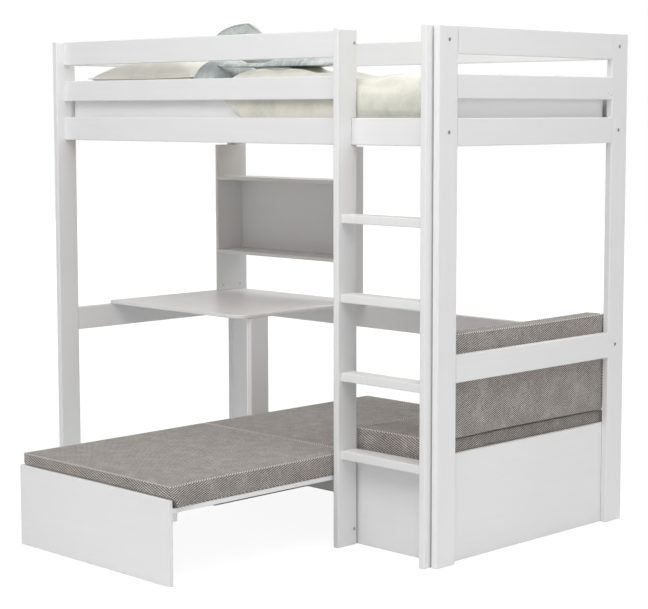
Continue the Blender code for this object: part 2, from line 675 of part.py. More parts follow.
def make_duvet():
    """A padded sheet over the mattress that hangs down its front side."""
    ends = (DUVET_LEFT, LEFT_UPRIGHT_RIGHT + SLIDE_FIT, RIGHT_UPRIGHT_LEFT - SLIDE_FIT, DUVET_RIGHT)
    places = [DUVET_LEFT]
    for start, stop, count in zip(ends, ends[1:], DUVET_SPANS):
        places += [start + (stop - start) * (i + 1) / count for i in range(count)]
    bm = bmesh.new()
    rings = []
    for x in places:
        inner, outer = duvet_section(x)
        rings.append([bm.verts.new((x, y, z)) for y, z in inner + outer[::-1]])
    count = len(rings[0])
    for ring, following in zip(rings, rings[1:]):
        for i in range(count):
            j = (i + 1) % count
            bm.faces.new((ring[i], ring[j], following[j], following[i]))
    for ring in (rings[0], rings[-1]):
        for i in range(count // 2 - 1):
            bm.faces.new((ring[i], ring[i + 1], ring[-2 - i], ring[-1 - i]))
    obj = add_object("duvet", bm, "cream_cotton")
    obj.data.shade_smooth()


def lying_pillow(name, size_shares, place_shares, finish):
    """A pillow flat on the mattress, from the place of its front left corner."""
    size = Vector(size_shares) * MATTRESS_WIDE
    corner = Vector((MATTRESS_LEFT, MATTRESS_FRONT, MATTRESS_TOP + FIT))
    corner += Vector((*place_shares, 0)) * MATTRESS_WIDE
    middle = corner + Vector((size.x / 2, size.y / 2, size.z * PILLOW_UNDER_SHARE))
    pillow(name, size, middle, finish, under_share=PILLOW_UNDER_SHARE)


def make_pillows():
    lying_pillow("pillow", PILLOW_SIZE_SHARES, PILLOW_PLACE_SHARES, "cream_cotton")
    lying_pillow("small_pillow", SMALL_SIZE_SHARES, SMALL_PLACE_SHARES, "blue_cotton")
    corner = Vector((MATTRESS_LEFT, MATTRESS_FRONT, MATTRESS_TOP))
    turn = [math.radians(angle) for angle in LEANING_TURN_DEGREES]
    pillow("leaning_pillow", Vector(LEANING_SIZE_SHARES) * MATTRESS_WIDE,
           corner + Vector(LEANING_PLACE_SHARES) * MATTRESS_WIDE, "blue_cotton", turn)


def make_desk():
    """The top rests on the left end rail and the rear rail, cut out round the rear left post."""
    arc = []
    for i in range(DESK_CORNER_STEPS + 1):
        angle = math.pi / 2 * (i / DESK_CORNER_STEPS - 1)
        arc.append((DESK_RIGHT - DESK_CORNER_RADIUS * (1 - math.cos(angle)),
                    DESK_FRONT + DESK_CORNER_RADIUS * (1 + math.sin(angle))))
    post_side = POST_THICK + FIT
    post_front = DEPTH - BOARD_WIDE - FIT
    outline = [(DESK_LEFT, DESK_FRONT), *arc, (DESK_RIGHT, REAR_RAIL_OUTER),
               (post_side, REAR_RAIL_OUTER), (post_side, post_front), (DESK_LEFT, post_front)]
    plate("desk_top", outline, 2, DESK_UNDERSIDE, DESK_TOP)
    leg_front = DESK_FRONT + DESK_LEG_FRONT_INSET
    board("desk_leg", (DESK_RIGHT - POST_THICK, leg_front, 0),
          (DESK_RIGHT, leg_front + BOARD_WIDE, DESK_UNDERSIDE - FIT))


def make_shelf_unit():
    inner_left = SHELF_LEFT + SHELF_BOARD + FIT
    inner_right = SHELF_RIGHT - SHELF_BOARD - FIT
    for side, left in (("left", SHELF_LEFT), ("right", SHELF_RIGHT - SHELF_BOARD)):
        board(f"shelf_{side}_panel", (left, SHELF_FRONT, SHELF_FOOT),
              (left + SHELF_BOARD, SHELF_REAR, SHELF_TOP), round_ends=True,
              radius=THIN_EDGE_RADIUS, steps=1)
    for name, top in (("lower_shelf", LOWER_SHELF_TOP), ("upper_shelf", UPPER_SHELF_TOP)):
        board(name, (inner_left, SHELF_FRONT, top - SHELF_BOARD), (inner_right, SHELF_REAR, top),
              radius=THIN_EDGE_RADIUS, steps=1)
    board("shelf_back_panel", (inner_left, SHELF_REAR - BACK_PANEL_THICK, LOWER_SHELF_TOP + FIT),
          (inner_right, SHELF_REAR, UPPER_SHELF_TOP - SHELF_BOARD - FIT),
          radius=THIN_EDGE_RADIUS, steps=1)


def make_seat_box():
    """The fixed seat at the right-hand end."""
    panel_top = SEAT_TOP - SEAT_BOARD_THICK - FIT
    side_front = SOFA_FRONT + PANEL_THICK + FIT
    side_rear = SOFA_REAR - PANEL_THICK - FIT
    board("sofa_end_panel", (SOFA_RIGHT - PANEL_THICK, SOFA_FRONT, 0),
          (SOFA_RIGHT, SOFA_REAR, END_PANEL_TOP), round_ends=True)
    board("seat_front_panel", (SEAT_LEFT, SOFA_FRONT, 0),
          (SOFA_INNER_RIGHT, SOFA_FRONT + PANEL_THICK, panel_top), round_ends=True)
    board("seat_side_panel", (SEAT_LEFT, side_front, 0),
          (SEAT_LEFT + PANEL_THICK, side_rear, panel_top), steps=1)
    board("seat_rear_panel", (SEAT_LEFT, SOFA_REAR - PANEL_THICK, 0),
          (SOFA_INNER_RIGHT, SOFA_REAR, panel_top), steps=1)
    board("seat_board", (SEAT_LEFT, SOFA_FRONT, SEAT_TOP - SEAT_BOARD_THICK),
          (SOFA_INNER_RIGHT, SOFA_REAR, SEAT_TOP))


def guest_slat_places(first):
    """The left edge of every second slat of the guest bed, from the given one."""
    left = GUEST_LEFT + GUEST_SLAT_MARGIN
    right = GUEST_RIGHT - GUEST_SLAT_MARGIN - GUEST_SLAT_WIDE
    pitch = (right - left) / (GUEST_SLAT_COUNT - 1)
    return [left + i * pitch for i in range(first, GUEST_SLAT_COUNT, 2)]


def make_guest_bed_base():
    """The fixed half of the guest bed: a board at the left, an apron, slats and a rear rail."""
    left = GUEST_LEFT + PANEL_THICK + FIT
    right = SEAT_LEFT - FIT
    underside = BEARER_TOP - APRON_HIGH
    board("guest_bed_left_board", (GUEST_LEFT, APRON_FRONT, 0),
          (GUEST_LEFT + PANEL_THICK, SOFA_REAR, LEFT_BOARD_TOP), steps=1)
    board("guest_bed_apron", (left, APRON_FRONT, underside), (right, APRON_REAR, BEARER_TOP),
          steps=1)
    slats = bmesh.new()
    for x in guest_slat_places(1):
        add_box(slats, (x, CUSHION_SEAM, GUEST_SLAT_UNDERSIDE),
                (x + GUEST_SLAT_WIDE, SOFA_REAR - SLAT_BITE, GUEST_BASE_TOP))
    rail = bmesh.new()
    add_box(rail, (left, SOFA_REAR - PANEL_THICK, underside),
            (right, SOFA_REAR, GUEST_SLAT_UNDERSIDE + SLAT_BITE))
    base = add_object("guest_bed_fixed_slats", slats, "bare_wood")
    combine(base, "UNION", add_helper("guest_bed_rear_rail", rail))


def make_pull_out(slide):
    """The half that slides: a front panel, and slats that run between the fixed ones."""
    board("pull_out_front_panel",
          (GUEST_LEFT - FRONT_PANEL_PAST_LEFT, PULL_OUT_FRONT, FRONT_PANEL_LIFT),
          (GUEST_RIGHT + FRONT_PANEL_PAST_RIGHT, PANEL_REAR, FRONT_PANEL_HIGH),
          parent=slide, round_ends=True)
    front = PANEL_REAR + FIT
    low = BEARER_TOP - CLEAT_HIGH
    foot = BEARER_TOP - SLAT_BITE
    slat_front = front + SLAT_BITE
    slat_rear = TIE_BAR_REAR - SLAT_BITE
    front_foot_end = CLEAT_REAR - SLAT_BITE
    rear_foot_start = TIE_BAR_FRONT + SLAT_BITE
    # Each slat has a foot at each end, which reaches down into the bar below it
    outline = ((slat_front, foot), (front_foot_end, foot), (front_foot_end, GUEST_SLAT_UNDERSIDE),
               (rear_foot_start, GUEST_SLAT_UNDERSIDE), (rear_foot_start, foot),
               (slat_rear, foot), (slat_rear, GUEST_BASE_TOP), (slat_front, GUEST_BASE_TOP))
    middle = slide.location
    slats = bmesh.new()
    for x in guest_slat_places(0):
        add_prism(slats, outline, 0, x, x + GUEST_SLAT_WIDE, middle)
    bars = bmesh.new()
    add_box(bars, (GUEST_LEFT + CLEAT_INSET, front, low),
            (GUEST_RIGHT - CLEAT_INSET, CLEAT_REAR, BEARER_TOP), middle)
    add_box(bars, (GUEST_LEFT + PANEL_THICK + SLIDE_FIT, TIE_BAR_FRONT, low),
            (GUEST_RIGHT - GUEST_SLAT_MARGIN - SLAT_BITE, TIE_BAR_REAR, BEARER_TOP), middle)
    frame = add_object("pull_out_slats", slats, "paint", middle, slide)
    combine(frame, "UNION", add_helper("pull_out_bars", bars, middle, slide))


def make_cushions(fold):
    """The guest bed's front cushion turns over about the seam along its top rear edge."""
    middle_x = GUEST_LEFT + GUEST_WIDE / 2
    middle_z = CUSHION_UNDERSIDE + CUSHION_THICK / 2
    rear_long = SOFA_REAR - GUEST_CUSHION_REAR_INSET - CUSHION_SEAM
    box_cushion("guest_rear_cushion", (GUEST_WIDE, rear_long, CUSHION_THICK),
                (middle_x, CUSHION_SEAM + rear_long / 2, middle_z))
    front_end = PANEL_REAR - FRONT_END_OVER_PANEL
    front_long = CUSHION_SEAM - CUSHION_SEAM_GAP - front_end
    box_cushion("guest_front_cushion", (GUEST_WIDE, front_long, CUSHION_THICK),
                (middle_x, front_end + front_long / 2, middle_z), parent=fold,
                own_front_end=True)
    seat_low = Vector((SEAT_LEFT + SEAT_CUSHION_INSET, SOFA_FRONT + SEAT_CUSHION_FRONT_INSET,
                       SEAT_TOP + FIT))
    seat_high = Vector((SOFA_INNER_RIGHT - SEAT_CUSHION_INSET,
                        SOFA_REAR - SEAT_CUSHION_REAR_INSET, SEAT_TOP + FIT + CUSHION_THICK))
    box_cushion("seat_cushion", seat_high - seat_low, (seat_low + seat_high) / 2)
    back_right = SOFA_RIGHT - FIT
    back_left = back_right - BACK_CUSHION_THICK
    reach = (2 * back_left - seat_low.x - seat_high.x) / (seat_high.x - seat_low.x)
    back_foot = seat_high.z + CUSHION_CROWN * (1 - reach * reach) + FIT
    back_front = SOFA_FRONT + BACK_CUSHION_FRONT_INSET
    back_long = SOFA_REAR - BACK_CUSHION_REAR_INSET - back_front
    back_middle = ((back_left + back_right) / 2, back_front + back_long / 2,
                   back_foot + BACK_CUSHION_HIGH / 2)
    box_cushion("back_cushion", (BACK_CUSHION_HIGH, back_long, BACK_CUSHION_THICK),
                back_middle, turn=(0, -math.pi / 2, 0))


def main():
    clear_objects()
    posts = make_posts()
    rails = make_long_rails()
    make_end_rails()
    uprights = make_ladder()
    make_bolts(posts, rails, uprights["right"])
    make_slatted_base()
    make_mattress()
    make_duvet()
    make_pillows()
    make_desk()
    make_shelf_unit()
    make_seat_box()
    make_guest_bed_base()
    slide = add_empty("pull_out_slide", (GUEST_LEFT + GUEST_WIDE / 2, PANEL_REAR, BEARER_TOP))
    make_pull_out(slide)
    fold = add_empty("cushion_fold", (GUEST_LEFT + GUEST_WIDE / 2, FOLD_Y, FOLD_Z))
    make_cushions(fold)
    loose = [obj for obj in bpy.data.objects if obj.parent is None]
    bed = add_empty("loft_bed", (-LENGTH / 2, -(PULL_OUT_FRONT + DEPTH) / 2, 0))
    for obj in loose:
        obj.parent = bed


main()
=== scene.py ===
"""The loft bed's looks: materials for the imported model, and soft pieces in place of its cushions,
pillows, mattress and duvet. Metres, +Z up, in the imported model's own frame."""

import json
import math
from itertools import product

import bmesh
import bpy
import numpy as np
from mathutils import Euler, Matrix, Vector, noise
from mathutils.bvhtree import BVHTree


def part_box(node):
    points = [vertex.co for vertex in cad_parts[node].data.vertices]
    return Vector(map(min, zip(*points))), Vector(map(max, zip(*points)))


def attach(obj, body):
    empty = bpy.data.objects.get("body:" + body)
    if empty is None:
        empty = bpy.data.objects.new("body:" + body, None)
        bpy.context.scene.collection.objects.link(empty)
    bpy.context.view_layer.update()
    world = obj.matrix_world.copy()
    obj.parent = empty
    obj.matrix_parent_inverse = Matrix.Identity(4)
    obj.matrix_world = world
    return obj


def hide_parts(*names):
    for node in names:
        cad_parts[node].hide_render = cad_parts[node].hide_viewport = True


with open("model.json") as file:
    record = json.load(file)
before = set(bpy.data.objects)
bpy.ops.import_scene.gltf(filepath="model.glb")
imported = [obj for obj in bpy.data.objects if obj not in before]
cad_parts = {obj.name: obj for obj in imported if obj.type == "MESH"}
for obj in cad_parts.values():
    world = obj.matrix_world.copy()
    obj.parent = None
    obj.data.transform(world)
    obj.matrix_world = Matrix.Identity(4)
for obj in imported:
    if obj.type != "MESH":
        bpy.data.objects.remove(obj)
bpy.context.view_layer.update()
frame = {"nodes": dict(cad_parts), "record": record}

# Camera
CAMERA_PLACE = (4.788, -4.383, 1.510)
CAMERA_FORWARD = (-0.701157, 0.705319, -0.104425)
CAMERA_ROLL = -0.00078
CAMERA_LENS = 97.12
CAMERA_SENSOR = 36.0
CAMERA_SHIFT = (-0.0157, -0.0156)
CAMERA_SEES = 100.0

# Light: each lamp's bearing from the front, its height in degrees and its power
WORLD_LIGHT = 0.25
LAMPS = {
    "front_lamp": (0.0, 45.0, 80.0),
    "low_front_lamp": (0.0, 20.0, 22.0),
    "corner_lamp": (45.0, 45.0, 82.0),
    "low_side_lamp": (90.0, 20.0, 34.0),
    "high_side_lamp": (90.0, 65.0, 85.0),
    "back_lamp": (180.0, 45.0, 95.0),
}
LAMP_WIDTH = 3.0
LAMP_REACH = 5.5
LAMP_TARGET = Vector((0.0, 0.0, 0.7))

# Floor: how much of it is shown as plain white near the object and far from it
FLOOR_SIZE = 30.0
FLOOR_DROP = 0.0008
FLOOR_COLOUR = (0.92, 0.92, 0.92)
WHITE = (1.0, 1.0, 1.0, 1.0)
FLOOR_NEAR, FLOOR_FAR = 2.0, 4.5
FLOOR_NEAR_WHITE = 0.84
FLOOR_SHOWN = 1.1

# Paint, wood and steel
PAINT_LIGHT = (0.812, 0.812, 0.812)
PAINT_DARK = (0.792, 0.792, 0.796)
# The edge colour below is a painted highlight: the boards' edges are drawn lighter, where rounded
# edges catch the light
PAINT_EDGE_HIGHLIGHT = (0.840, 0.840, 0.840)
PINE_LIGHT = (0.74, 0.59, 0.40)
PINE_DARK = (0.56, 0.39, 0.22)
PINE_KNOT = (0.24, 0.12, 0.055)
STEEL_LIGHT = (0.40, 0.40, 0.41)
STEEL_DARK = (0.27, 0.27, 0.285)
# The edge colour below is a painted glint along the heads' edges
STEEL_EDGE_GLINT = (0.62, 0.62, 0.62)
GRAIN_ALONG, GRAIN_ACROSS = 2.0, 70.0
BANDS_ALONG, BANDS_ACROSS = 0.9, 26.0
KNOTS_ALONG, KNOTS_ACROSS = 3.2, 9.0
RINGS_PER_BAND = 7.0
EDGE_WIDTH = 0.0025
STEEL_EDGE_WIDTH = 0.0008
TURNED_MARKS = (40.0, 900.0, 900.0)

# Fabrics. The weave's maps are in metres, and its ribs are a pitch and a slope in degrees
TWEED_DARK = (0.060, 0.052, 0.046)
TWEED_LIGHT = (0.700, 0.648, 0.605)
TWEED_RIBS = ((0.0068, 23.0), (0.0060, -37.0))
TWEED_RIB_SHARES = (1.2, 0.8)
TWEED_YARN = (60.0, 260.0, 1.0)
WEAVE_SCALES = (1.0, 1.15, 0.70)
CORD_LIGHT = (0.800, 0.765, 0.725)
CORD_STRAND = 0.0110
COTTON_WASH = 6.0
COTTON_THREADS = 1400.0
COTTON_VEINS = 0.25
CREAM = (0.715, 0.700, 0.612)
CREAM_SHADE = (0.585, 0.595, 0.525)
CREAM_LIGHT = (0.80, 0.79, 0.71)
PALE_CREAM = (0.840, 0.825, 0.735)
PALE_CREAM_LIGHT = (0.86, 0.85, 0.78)
BLUE_GREY_WASH = 8.0
BLUE_GREY_VEINS = 0.60
BLUE_GREY_STREAK = 0.45
BLUE_GREY = (0.510, 0.555, 0.545)
BLUE_GREY_LIGHT = (0.700, 0.720, 0.690)
BLUE_GREY_DARK = (0.280, 0.315, 0.320)
TICKING = (0.96, 0.96, 0.96)
TICKING_SHADE = (0.920, 0.920, 0.925)
TICKING_DIAMONDS = 95.0

# Cloth simulation
CLOTH_FRAMES = 20
CLOTH = {"quality": 5, "mass": 0.3, "tension_damping": 8.0, "compression_damping": 8.0,
         "air_damping": 2.0, "use_pressure": True}
CUSHION_CLOTH = {"pressure": 3.0, "tension": 10.0, "bending": 0.6, "shrink": -0.004}
MATTRESS_CLOTH = {"pressure": 3.0, "tension": 10.0, "bending": 0.3, "shrink": -0.01}
PILLOW_CLOTH = {"pressure": 5.0, "tension": 8.0, "bending": 0.25, "shrink": -0.03}
QUILT_CLOTH = {"pressure": 2.5, "tension": 6.0, "bending": 0.2, "shrink": -0.02}
FLAP_CLOTH = {"pressure": 2.0, "tension": 6.0, "bending": 0.2, "shrink": 0.0}

# Seams, and the gap that keeps soft pieces clear of what they lie on
SEAM_CREASE = 0.8
PIPING_RADIUS = 0.0022
PIPING_SIDES = 8
REST_GAP = 0.0006

# Box cushions. The front end's leans and lifts are given at shares of the cushion's thickness
CUSHION_CELL = 0.016
BOXING_CELL = 0.009
CUSHION_ROUND = 0.006
CUSHION_CAP = 0.005
CUSHION_INSET = 0.0008
CUSHION_CROWN = 0.004
GUEST_CROWN = 0.0062
CUSHION_WAIST = 0.003
CUSHION_DENTS = 0.0020
DENT_SCALES = (4, 13)
DENT_FINE_SHARE = 0.4
CUSHION_REST_ZONE = 3 * CUSHION_ROUND
FRONT_LONGER = 0.005
HINGE_SHORTER = 0.0018
FRONT_CORNER_OUT = 0.012
FRONT_POWER, CORNER_POWER = 6, 3
FRONT_FACE_SHARE = -0.97
FRONT_END_SHARES = (-1.0, -0.6, -0.36, -0.12, 0.12, 1.0)
FRONT_END_LEAN = (0.031, 0.0235, 0.0168, 0.0015, 0.0, 0.0)
FRONT_END_LIFT = (0.0, 0.0035, 0.0068, -0.0008, 0.0, 0.0)
SEAT_LONGER = 0.016
BACK_LONGER = 0.006
CREASE_DEEP = 0.004
CREASE_ZONE = 0.03

# Mattress
MATTRESS_CELL = 0.022
MATTRESS_ROUND = 0.008
MATTRESS_CORNER = 0.012
MATTRESS_INSET = 0.001
MATTRESS_OUT = 0.011
MATTRESS_CROWN = 0.002
MATTRESS_PIPING = 0.0032
TUFT_STEP = 7
TUFT_DEEP = 0.005

# Pillows: the share of their thickness that lies under the seam, and their creases
PILLOW_CELL = 0.018
PILLOW_CAP = 0.012
PILLOW_UNDER = 0.30
PILLOW_SEAM = 0.0022
PILLOW_BEFORE_SWELL = 0.86
PILLOW_FAN, PILLOW_FANS_ROUND, PILLOW_FAN_LONG = 0.008, 5, 1.3
PILLOW_FINE, PILLOW_FINE_SCALE = 0.003, 24
PILLOW_SHAPE = {"seed": 3.1, "waist": 0.04, "round_power": 0.68}
ACCENT_SHAPE = {"seed": 8.7, "waist": 0.02, "round_power": 0.38}
ACCENT_NARROWER = 0.045
LEANING_SHAPE = {"seed": 5.3, "waist": 0.01, "corner": 0.08}
LEANING_TURN = [math.radians(angle) for angle in (-10.3, 35.3, 69.6)]
LEANING_SIZE = (0.524, 0.312, 0.083)
LEANING_SHIFT = Vector((0.011, -0.050, -0.019))
LEANING_UNDER = 0.82

# The duvet: cells of its grid, then its thicknesses
QUILT_ACROSS, QUILT_TOP, QUILT_CORNER, QUILT_DOWN = 92, 44, 6, 12
QUILT_TURN = 0.010
QUILT_THICK = 0.037
QUILT_RIM = 0.012
QUILT_SIDE = 0.0125
QUILT_CAP = 0.007
QUILT_OUT = 0.012
QUILT_END_ROUND, QUILT_RIGHT_ROUND, QUILT_REAR_ROUND = 0.030, 0.06, 0.07
QUILT_RIDGE, QUILT_RIDGE_BASE, QUILT_RIDGE_POWER = 0.010, 0.55, 3
QUILT_SMALL = 0.003
QUILT_RIDGE_FIELD, QUILT_SMALL_FIELD = (5.1, 7.3, 2.0, 1.7), (17, 21, 0.0, 4.0)

# Its rolled front edge, its heap and its long folds: heights, places and widths from its corner
FRONT_EDGE_BACK, FRONT_EDGE_WIDTH = 0.05, 0.09
HEAP_HIGH = 0.045
HEAP_ALONG, HEAP_LONG = 0.18, 0.14
HEAP_BACK, HEAP_DEEP = 0.24, 0.14
ROLL_HIGH, ROLL_END, ROLL_FADE = 0.024, 0.55, 0.16
WAVE_HIGH, WAVE_LONG, WAVE_SLANT, WAVE_START = 0.005, 0.235, 0.8, 0.15

# Its hanging front: the hem rises at the left in folds, and the cloth bulges beside the ladder
HEM_LIFT, HEM_RISE, HEM_POWER, HEM_RUN = 0.002, 0.088, 1.25, 0.130
HEM_FOLD, HEM_FOLD_LONG = 0.012, 0.042
BELLY_OUT, BELLY_POWER, BELLY_START = 0.021, 0.25, 0.1
OVER_RAIL, OVER_RAIL_FADE = 0.004, 0.02
FRONT_CREASE, FRONT_CREASE_FIELD = 0.003, (11, 9, 0.0, 9.0)

# The part of it that is turned back: its outline from the duvet's left edge, and its pleats
FLAP_ACROSS, FLAP_ALONG = 52, 34
FLAP_PAST_LEFT, FLAP_LEFT_POWER = 0.135, 0.8
FLAP_RIGHT = (0.420, 0.130)
FLAP_WAVE, FLAP_WAVE_RUN, FLAP_WAVE_START = 0.016, 5.0, 0.6
FLAP_NEAR = (0.045, 0.115)
FLAP_NEAR_RUN, FLAP_NEAR_WAVE, FLAP_NEAR_WAVE_RUN = 0.20, 0.012, 9.0
FLAP_DEEP = 0.36
FLAP_ROOF = 0.087
FLAP_GAP = 0.0015
FLAP_RIM, FLAP_ROUND, FLAP_CAP = 0.004, 0.02, 0.004
FLAP_THICK, FLAP_PLEAT, FLAP_SMALL = 0.010, 0.020, 0.003
FLAP_PLEAT_SLANT, FLAP_PLEAT_POWER = (0.9, 0.45), 4
FLAP_PLEAT_FIELD, FLAP_SMALL_FIELD = (9.0, 2.0, 0.0, 2.4), (23, 23, 0.0, 7.0)
RAY_START = 3.0

# Small heads: the profile and the socket as shares of height and radius, then radii and places
HEAD_SIDES = 24
HEAD_HIGH = 0.42
HEAD_PROFILE = ((0.0, 1.0), (0.55, 1.0), (0.80, 0.93), (0.86, 0.80))
SOCKET_WIDE = 0.5
SOCKET_PROFILE = ((0.86, 1.0), (0.80, 0.95), (0.10, 0.95))
HEAD_SUNK = 0.0006
LADDER_HEAD, LADDER_HEAD_BACK, LADDER_HEAD_LOW = 0.0055, 0.013, 0.057
SHELF_HEAD, SHELF_HEAD_FRONT, SHELF_HEAD_REAR, SHELF_HEAD_UP = 0.0036, 0.030, 0.025, 0.023
RAIL_HEAD = 0.0022
RAIL_HEAD_PLACES = {"front": (0.0225, -0.017), "rear": (0.0035, -0.025)}

scene = bpy.context.scene


# --- Materials


class Nodes:
    """The nodes of a material or the world, with short calls that add some and join them."""

    def __init__(self, owner):
        owner.use_nodes = True
        self.tree = owner.node_tree

    def node(self, kind, inputs=None, **settings):
        made = self.tree.nodes.new("ShaderNode" + kind)
        for key, value in settings.items():
            setattr(made, key, value)
        for key, value in (inputs or {}).items():
            self.feed(made.inputs[key], value)
        return made

    def feed(self, socket, value):
        if isinstance(value, bpy.types.NodeSocket):
            self.tree.links.new(value, socket)
        else:
            socket.default_value = value

    def maths(self, operation, *values):
        return self.node("Math", dict(enumerate(values)), operation=operation).outputs[0]

    def times(self, first, second):
        return self.maths("MULTIPLY", first, second)

    def spread(self, value, low, high, to_low=0.0, to_high=1.0):
        inputs = {0: value, 1: low, 2: high, 3: to_low, 4: to_high}
        return self.node("MapRange", inputs).outputs[0]


class Material(Nodes):
    """A material being made."""

    def __init__(self, name, roughness=0.5, metallic=0.0, sheen=0.0, specular=0.5, coat=0.0):
        self.material = bpy.data.materials.new(name)
        super().__init__(self.material)
        self.shader = self.tree.nodes["Principled BSDF"]
        values = {"Roughness": roughness, "Metallic": metallic, "Sheen Weight": sheen,
                  "Specular IOR Level": specular, "Coat Weight": coat}
        for key, value in values.items():
            self.feed(self.shader.inputs[key], value)

    def place(self):
        return self.node("TexCoord").outputs["Object"]

    def weave_map(self):
        """The two coordinates of the cloth's own map."""
        split = self.node("SeparateXYZ", {0: self.node("UVMap", uv_map="weave").outputs["UV"]})
        return split.outputs[0], split.outputs[1]

    def scaled(self, vector, scale):
        return self.node("Mapping", {"Vector": vector, "Scale": scale}).outputs[0]

    def joined(self, x, y, z=0.0):
        return self.node("CombineXYZ", {0: x, 1: y, 2: z}).outputs[0]

    def noise(self, vector, scale, detail=3.0, rough=0.5):
        inputs = {"Vector": vector, "Scale": scale, "Detail": detail, "Roughness": rough}
        return self.node("TexNoise", inputs).outputs["Fac"]

    def mix(self, factor, *colours):
        first, second = [colour if isinstance(colour, bpy.types.NodeSocket) else (*colour, 1.0)
                         for colour in colours]
        return self.node("Mix", {0: factor, 6: first, 7: second}, data_type="RGBA").outputs[2]

    def bump(self, height, strength, distance, normal=None):
        inputs = {"Height": height, "Strength": strength, "Distance": distance}
        if normal:
            inputs["Normal"] = normal
        return self.node("Bump", inputs).outputs[0]

    def edge_mask(self, width):
        """How near a point is to a sharp edge, from 0 to 1, and the softened normal there."""
        soft = self.node("Bevel", {"Radius": width}, samples=4).outputs[0]
        flat = self.node("NewGeometry").outputs["Normal"]
        same = self.node("VectorMath", {0: soft, 1: flat}, operation="DOT_PRODUCT")
        return self.spread(same.outputs["Value"], 0.86, 0.995, 1.0, 0.0), soft

    def finish(self, colour, normal=None, roughness=None):
        self.feed(self.shader.inputs["Base Color"], colour)
        if normal:
            self.feed(self.shader.inputs["Normal"], normal)
        if roughness:
            self.feed(self.shader.inputs["Roughness"], roughness)
        return self.material


def long_scale(axis, along, across):
    """A noise's scale that draws it out along one axis."""
    scale = [across] * 3
    scale[axis] = along
    return scale


def painted_wood(axis):
    """White satin paint over boards whose grain runs along one axis."""
    made = Material("painted_wood_" + "xyz"[axis], coat=0.06)
    place = made.place()
    grain_place = made.scaled(place, long_scale(axis, GRAIN_ALONG, GRAIN_ACROSS))
    grain = made.noise(grain_place, 1.0, 5.0, 0.6)
    blotch = made.noise(place, 3.0)
    roller = made.noise(place, 520.0, 2.0)
    edge, soft = made.edge_mask(EDGE_WIDTH)
    tone = made.maths("ADD", made.times(grain, 0.45), made.times(blotch, 0.55))
    colour = made.mix(made.spread(tone, 0.38, 0.62), PAINT_DARK, PAINT_LIGHT)
    # Painted highlight: the colour turns lighter along the boards' edges, where rounded edges catch
    # the light
    colour = made.mix(made.times(edge, 0.6), colour, PAINT_EDGE_HIGHLIGHT)
    rough = made.spread(blotch, 0.3, 0.7, 0.36, 0.50)
    normal = made.bump(grain, 0.10, 0.0012, soft)
    normal = made.bump(roller, 0.06, 0.0004, normal)
    return made.finish(colour, normal, rough)


def bare_pine(axis):
    """Unpainted softwood: growth bands, fine fibres and a few knots."""
    made = Material("bare_pine_" + "xyz"[axis])
    place = made.place()
    warp = made.noise(place, 5.0, 2.0)
    band_place = made.scaled(place, long_scale(axis, BANDS_ALONG, BANDS_ACROSS))
    bands = made.noise(band_place, 1.0, 4.0, 0.55)
    rings = made.maths("FRACT", made.maths("MULTIPLY_ADD", bands, RINGS_PER_BAND, warp))
    fibre_place = made.scaled(place, long_scale(axis, GRAIN_ALONG, GRAIN_ACROSS))
    fibre = made.noise(fibre_place, 3.0, 4.0, 0.7)
    knot_place = made.scaled(place, long_scale(axis, KNOTS_ALONG, KNOTS_ACROSS))
    knots = made.node("TexVoronoi", {"Vector": knot_place, "Scale": 1.0})
    knot = made.spread(knots.outputs["Distance"], 0.05, 0.16, 1.0, 0.0)
    colour = made.mix(made.spread(rings, 0.15, 0.95), PINE_LIGHT, PINE_DARK)
    colour = made.mix(made.spread(fibre, 0.35, 0.65, 0.0, 0.5), colour, PINE_LIGHT)
    colour = made.mix(made.times(knot, 0.85), colour, PINE_KNOT)
    normal = made.bump(made.maths("ADD", rings, fibre), 0.18, 0.0008)
    return made.finish(colour, normal, made.spread(fibre, 0.3, 0.7, 0.55, 0.75))


def bolt_steel():
    """Zinc plated steel, turned, with patches of darker film."""
    made = Material("bolt_steel", 0.34, 1.0)
    place = made.place()
    fine = made.noise(made.scaled(place, TURNED_MARKS), 1.0)
    film = made.noise(place, 160.0, 2.0)
    edge, soft = made.edge_mask(STEEL_EDGE_WIDTH)
    colour = made.mix(made.spread(film, 0.35, 0.7), STEEL_LIGHT, STEEL_DARK)
    # Painted glint: the colour turns pale along the heads' edges, where light would catch them
    colour = made.mix(edge, colour, STEEL_EDGE_GLINT)
    return made.finish(colour, made.bump(fine, 0.12, 0.0002, soft),
                       made.spread(fine, 0.3, 0.7, 0.26, 0.44))


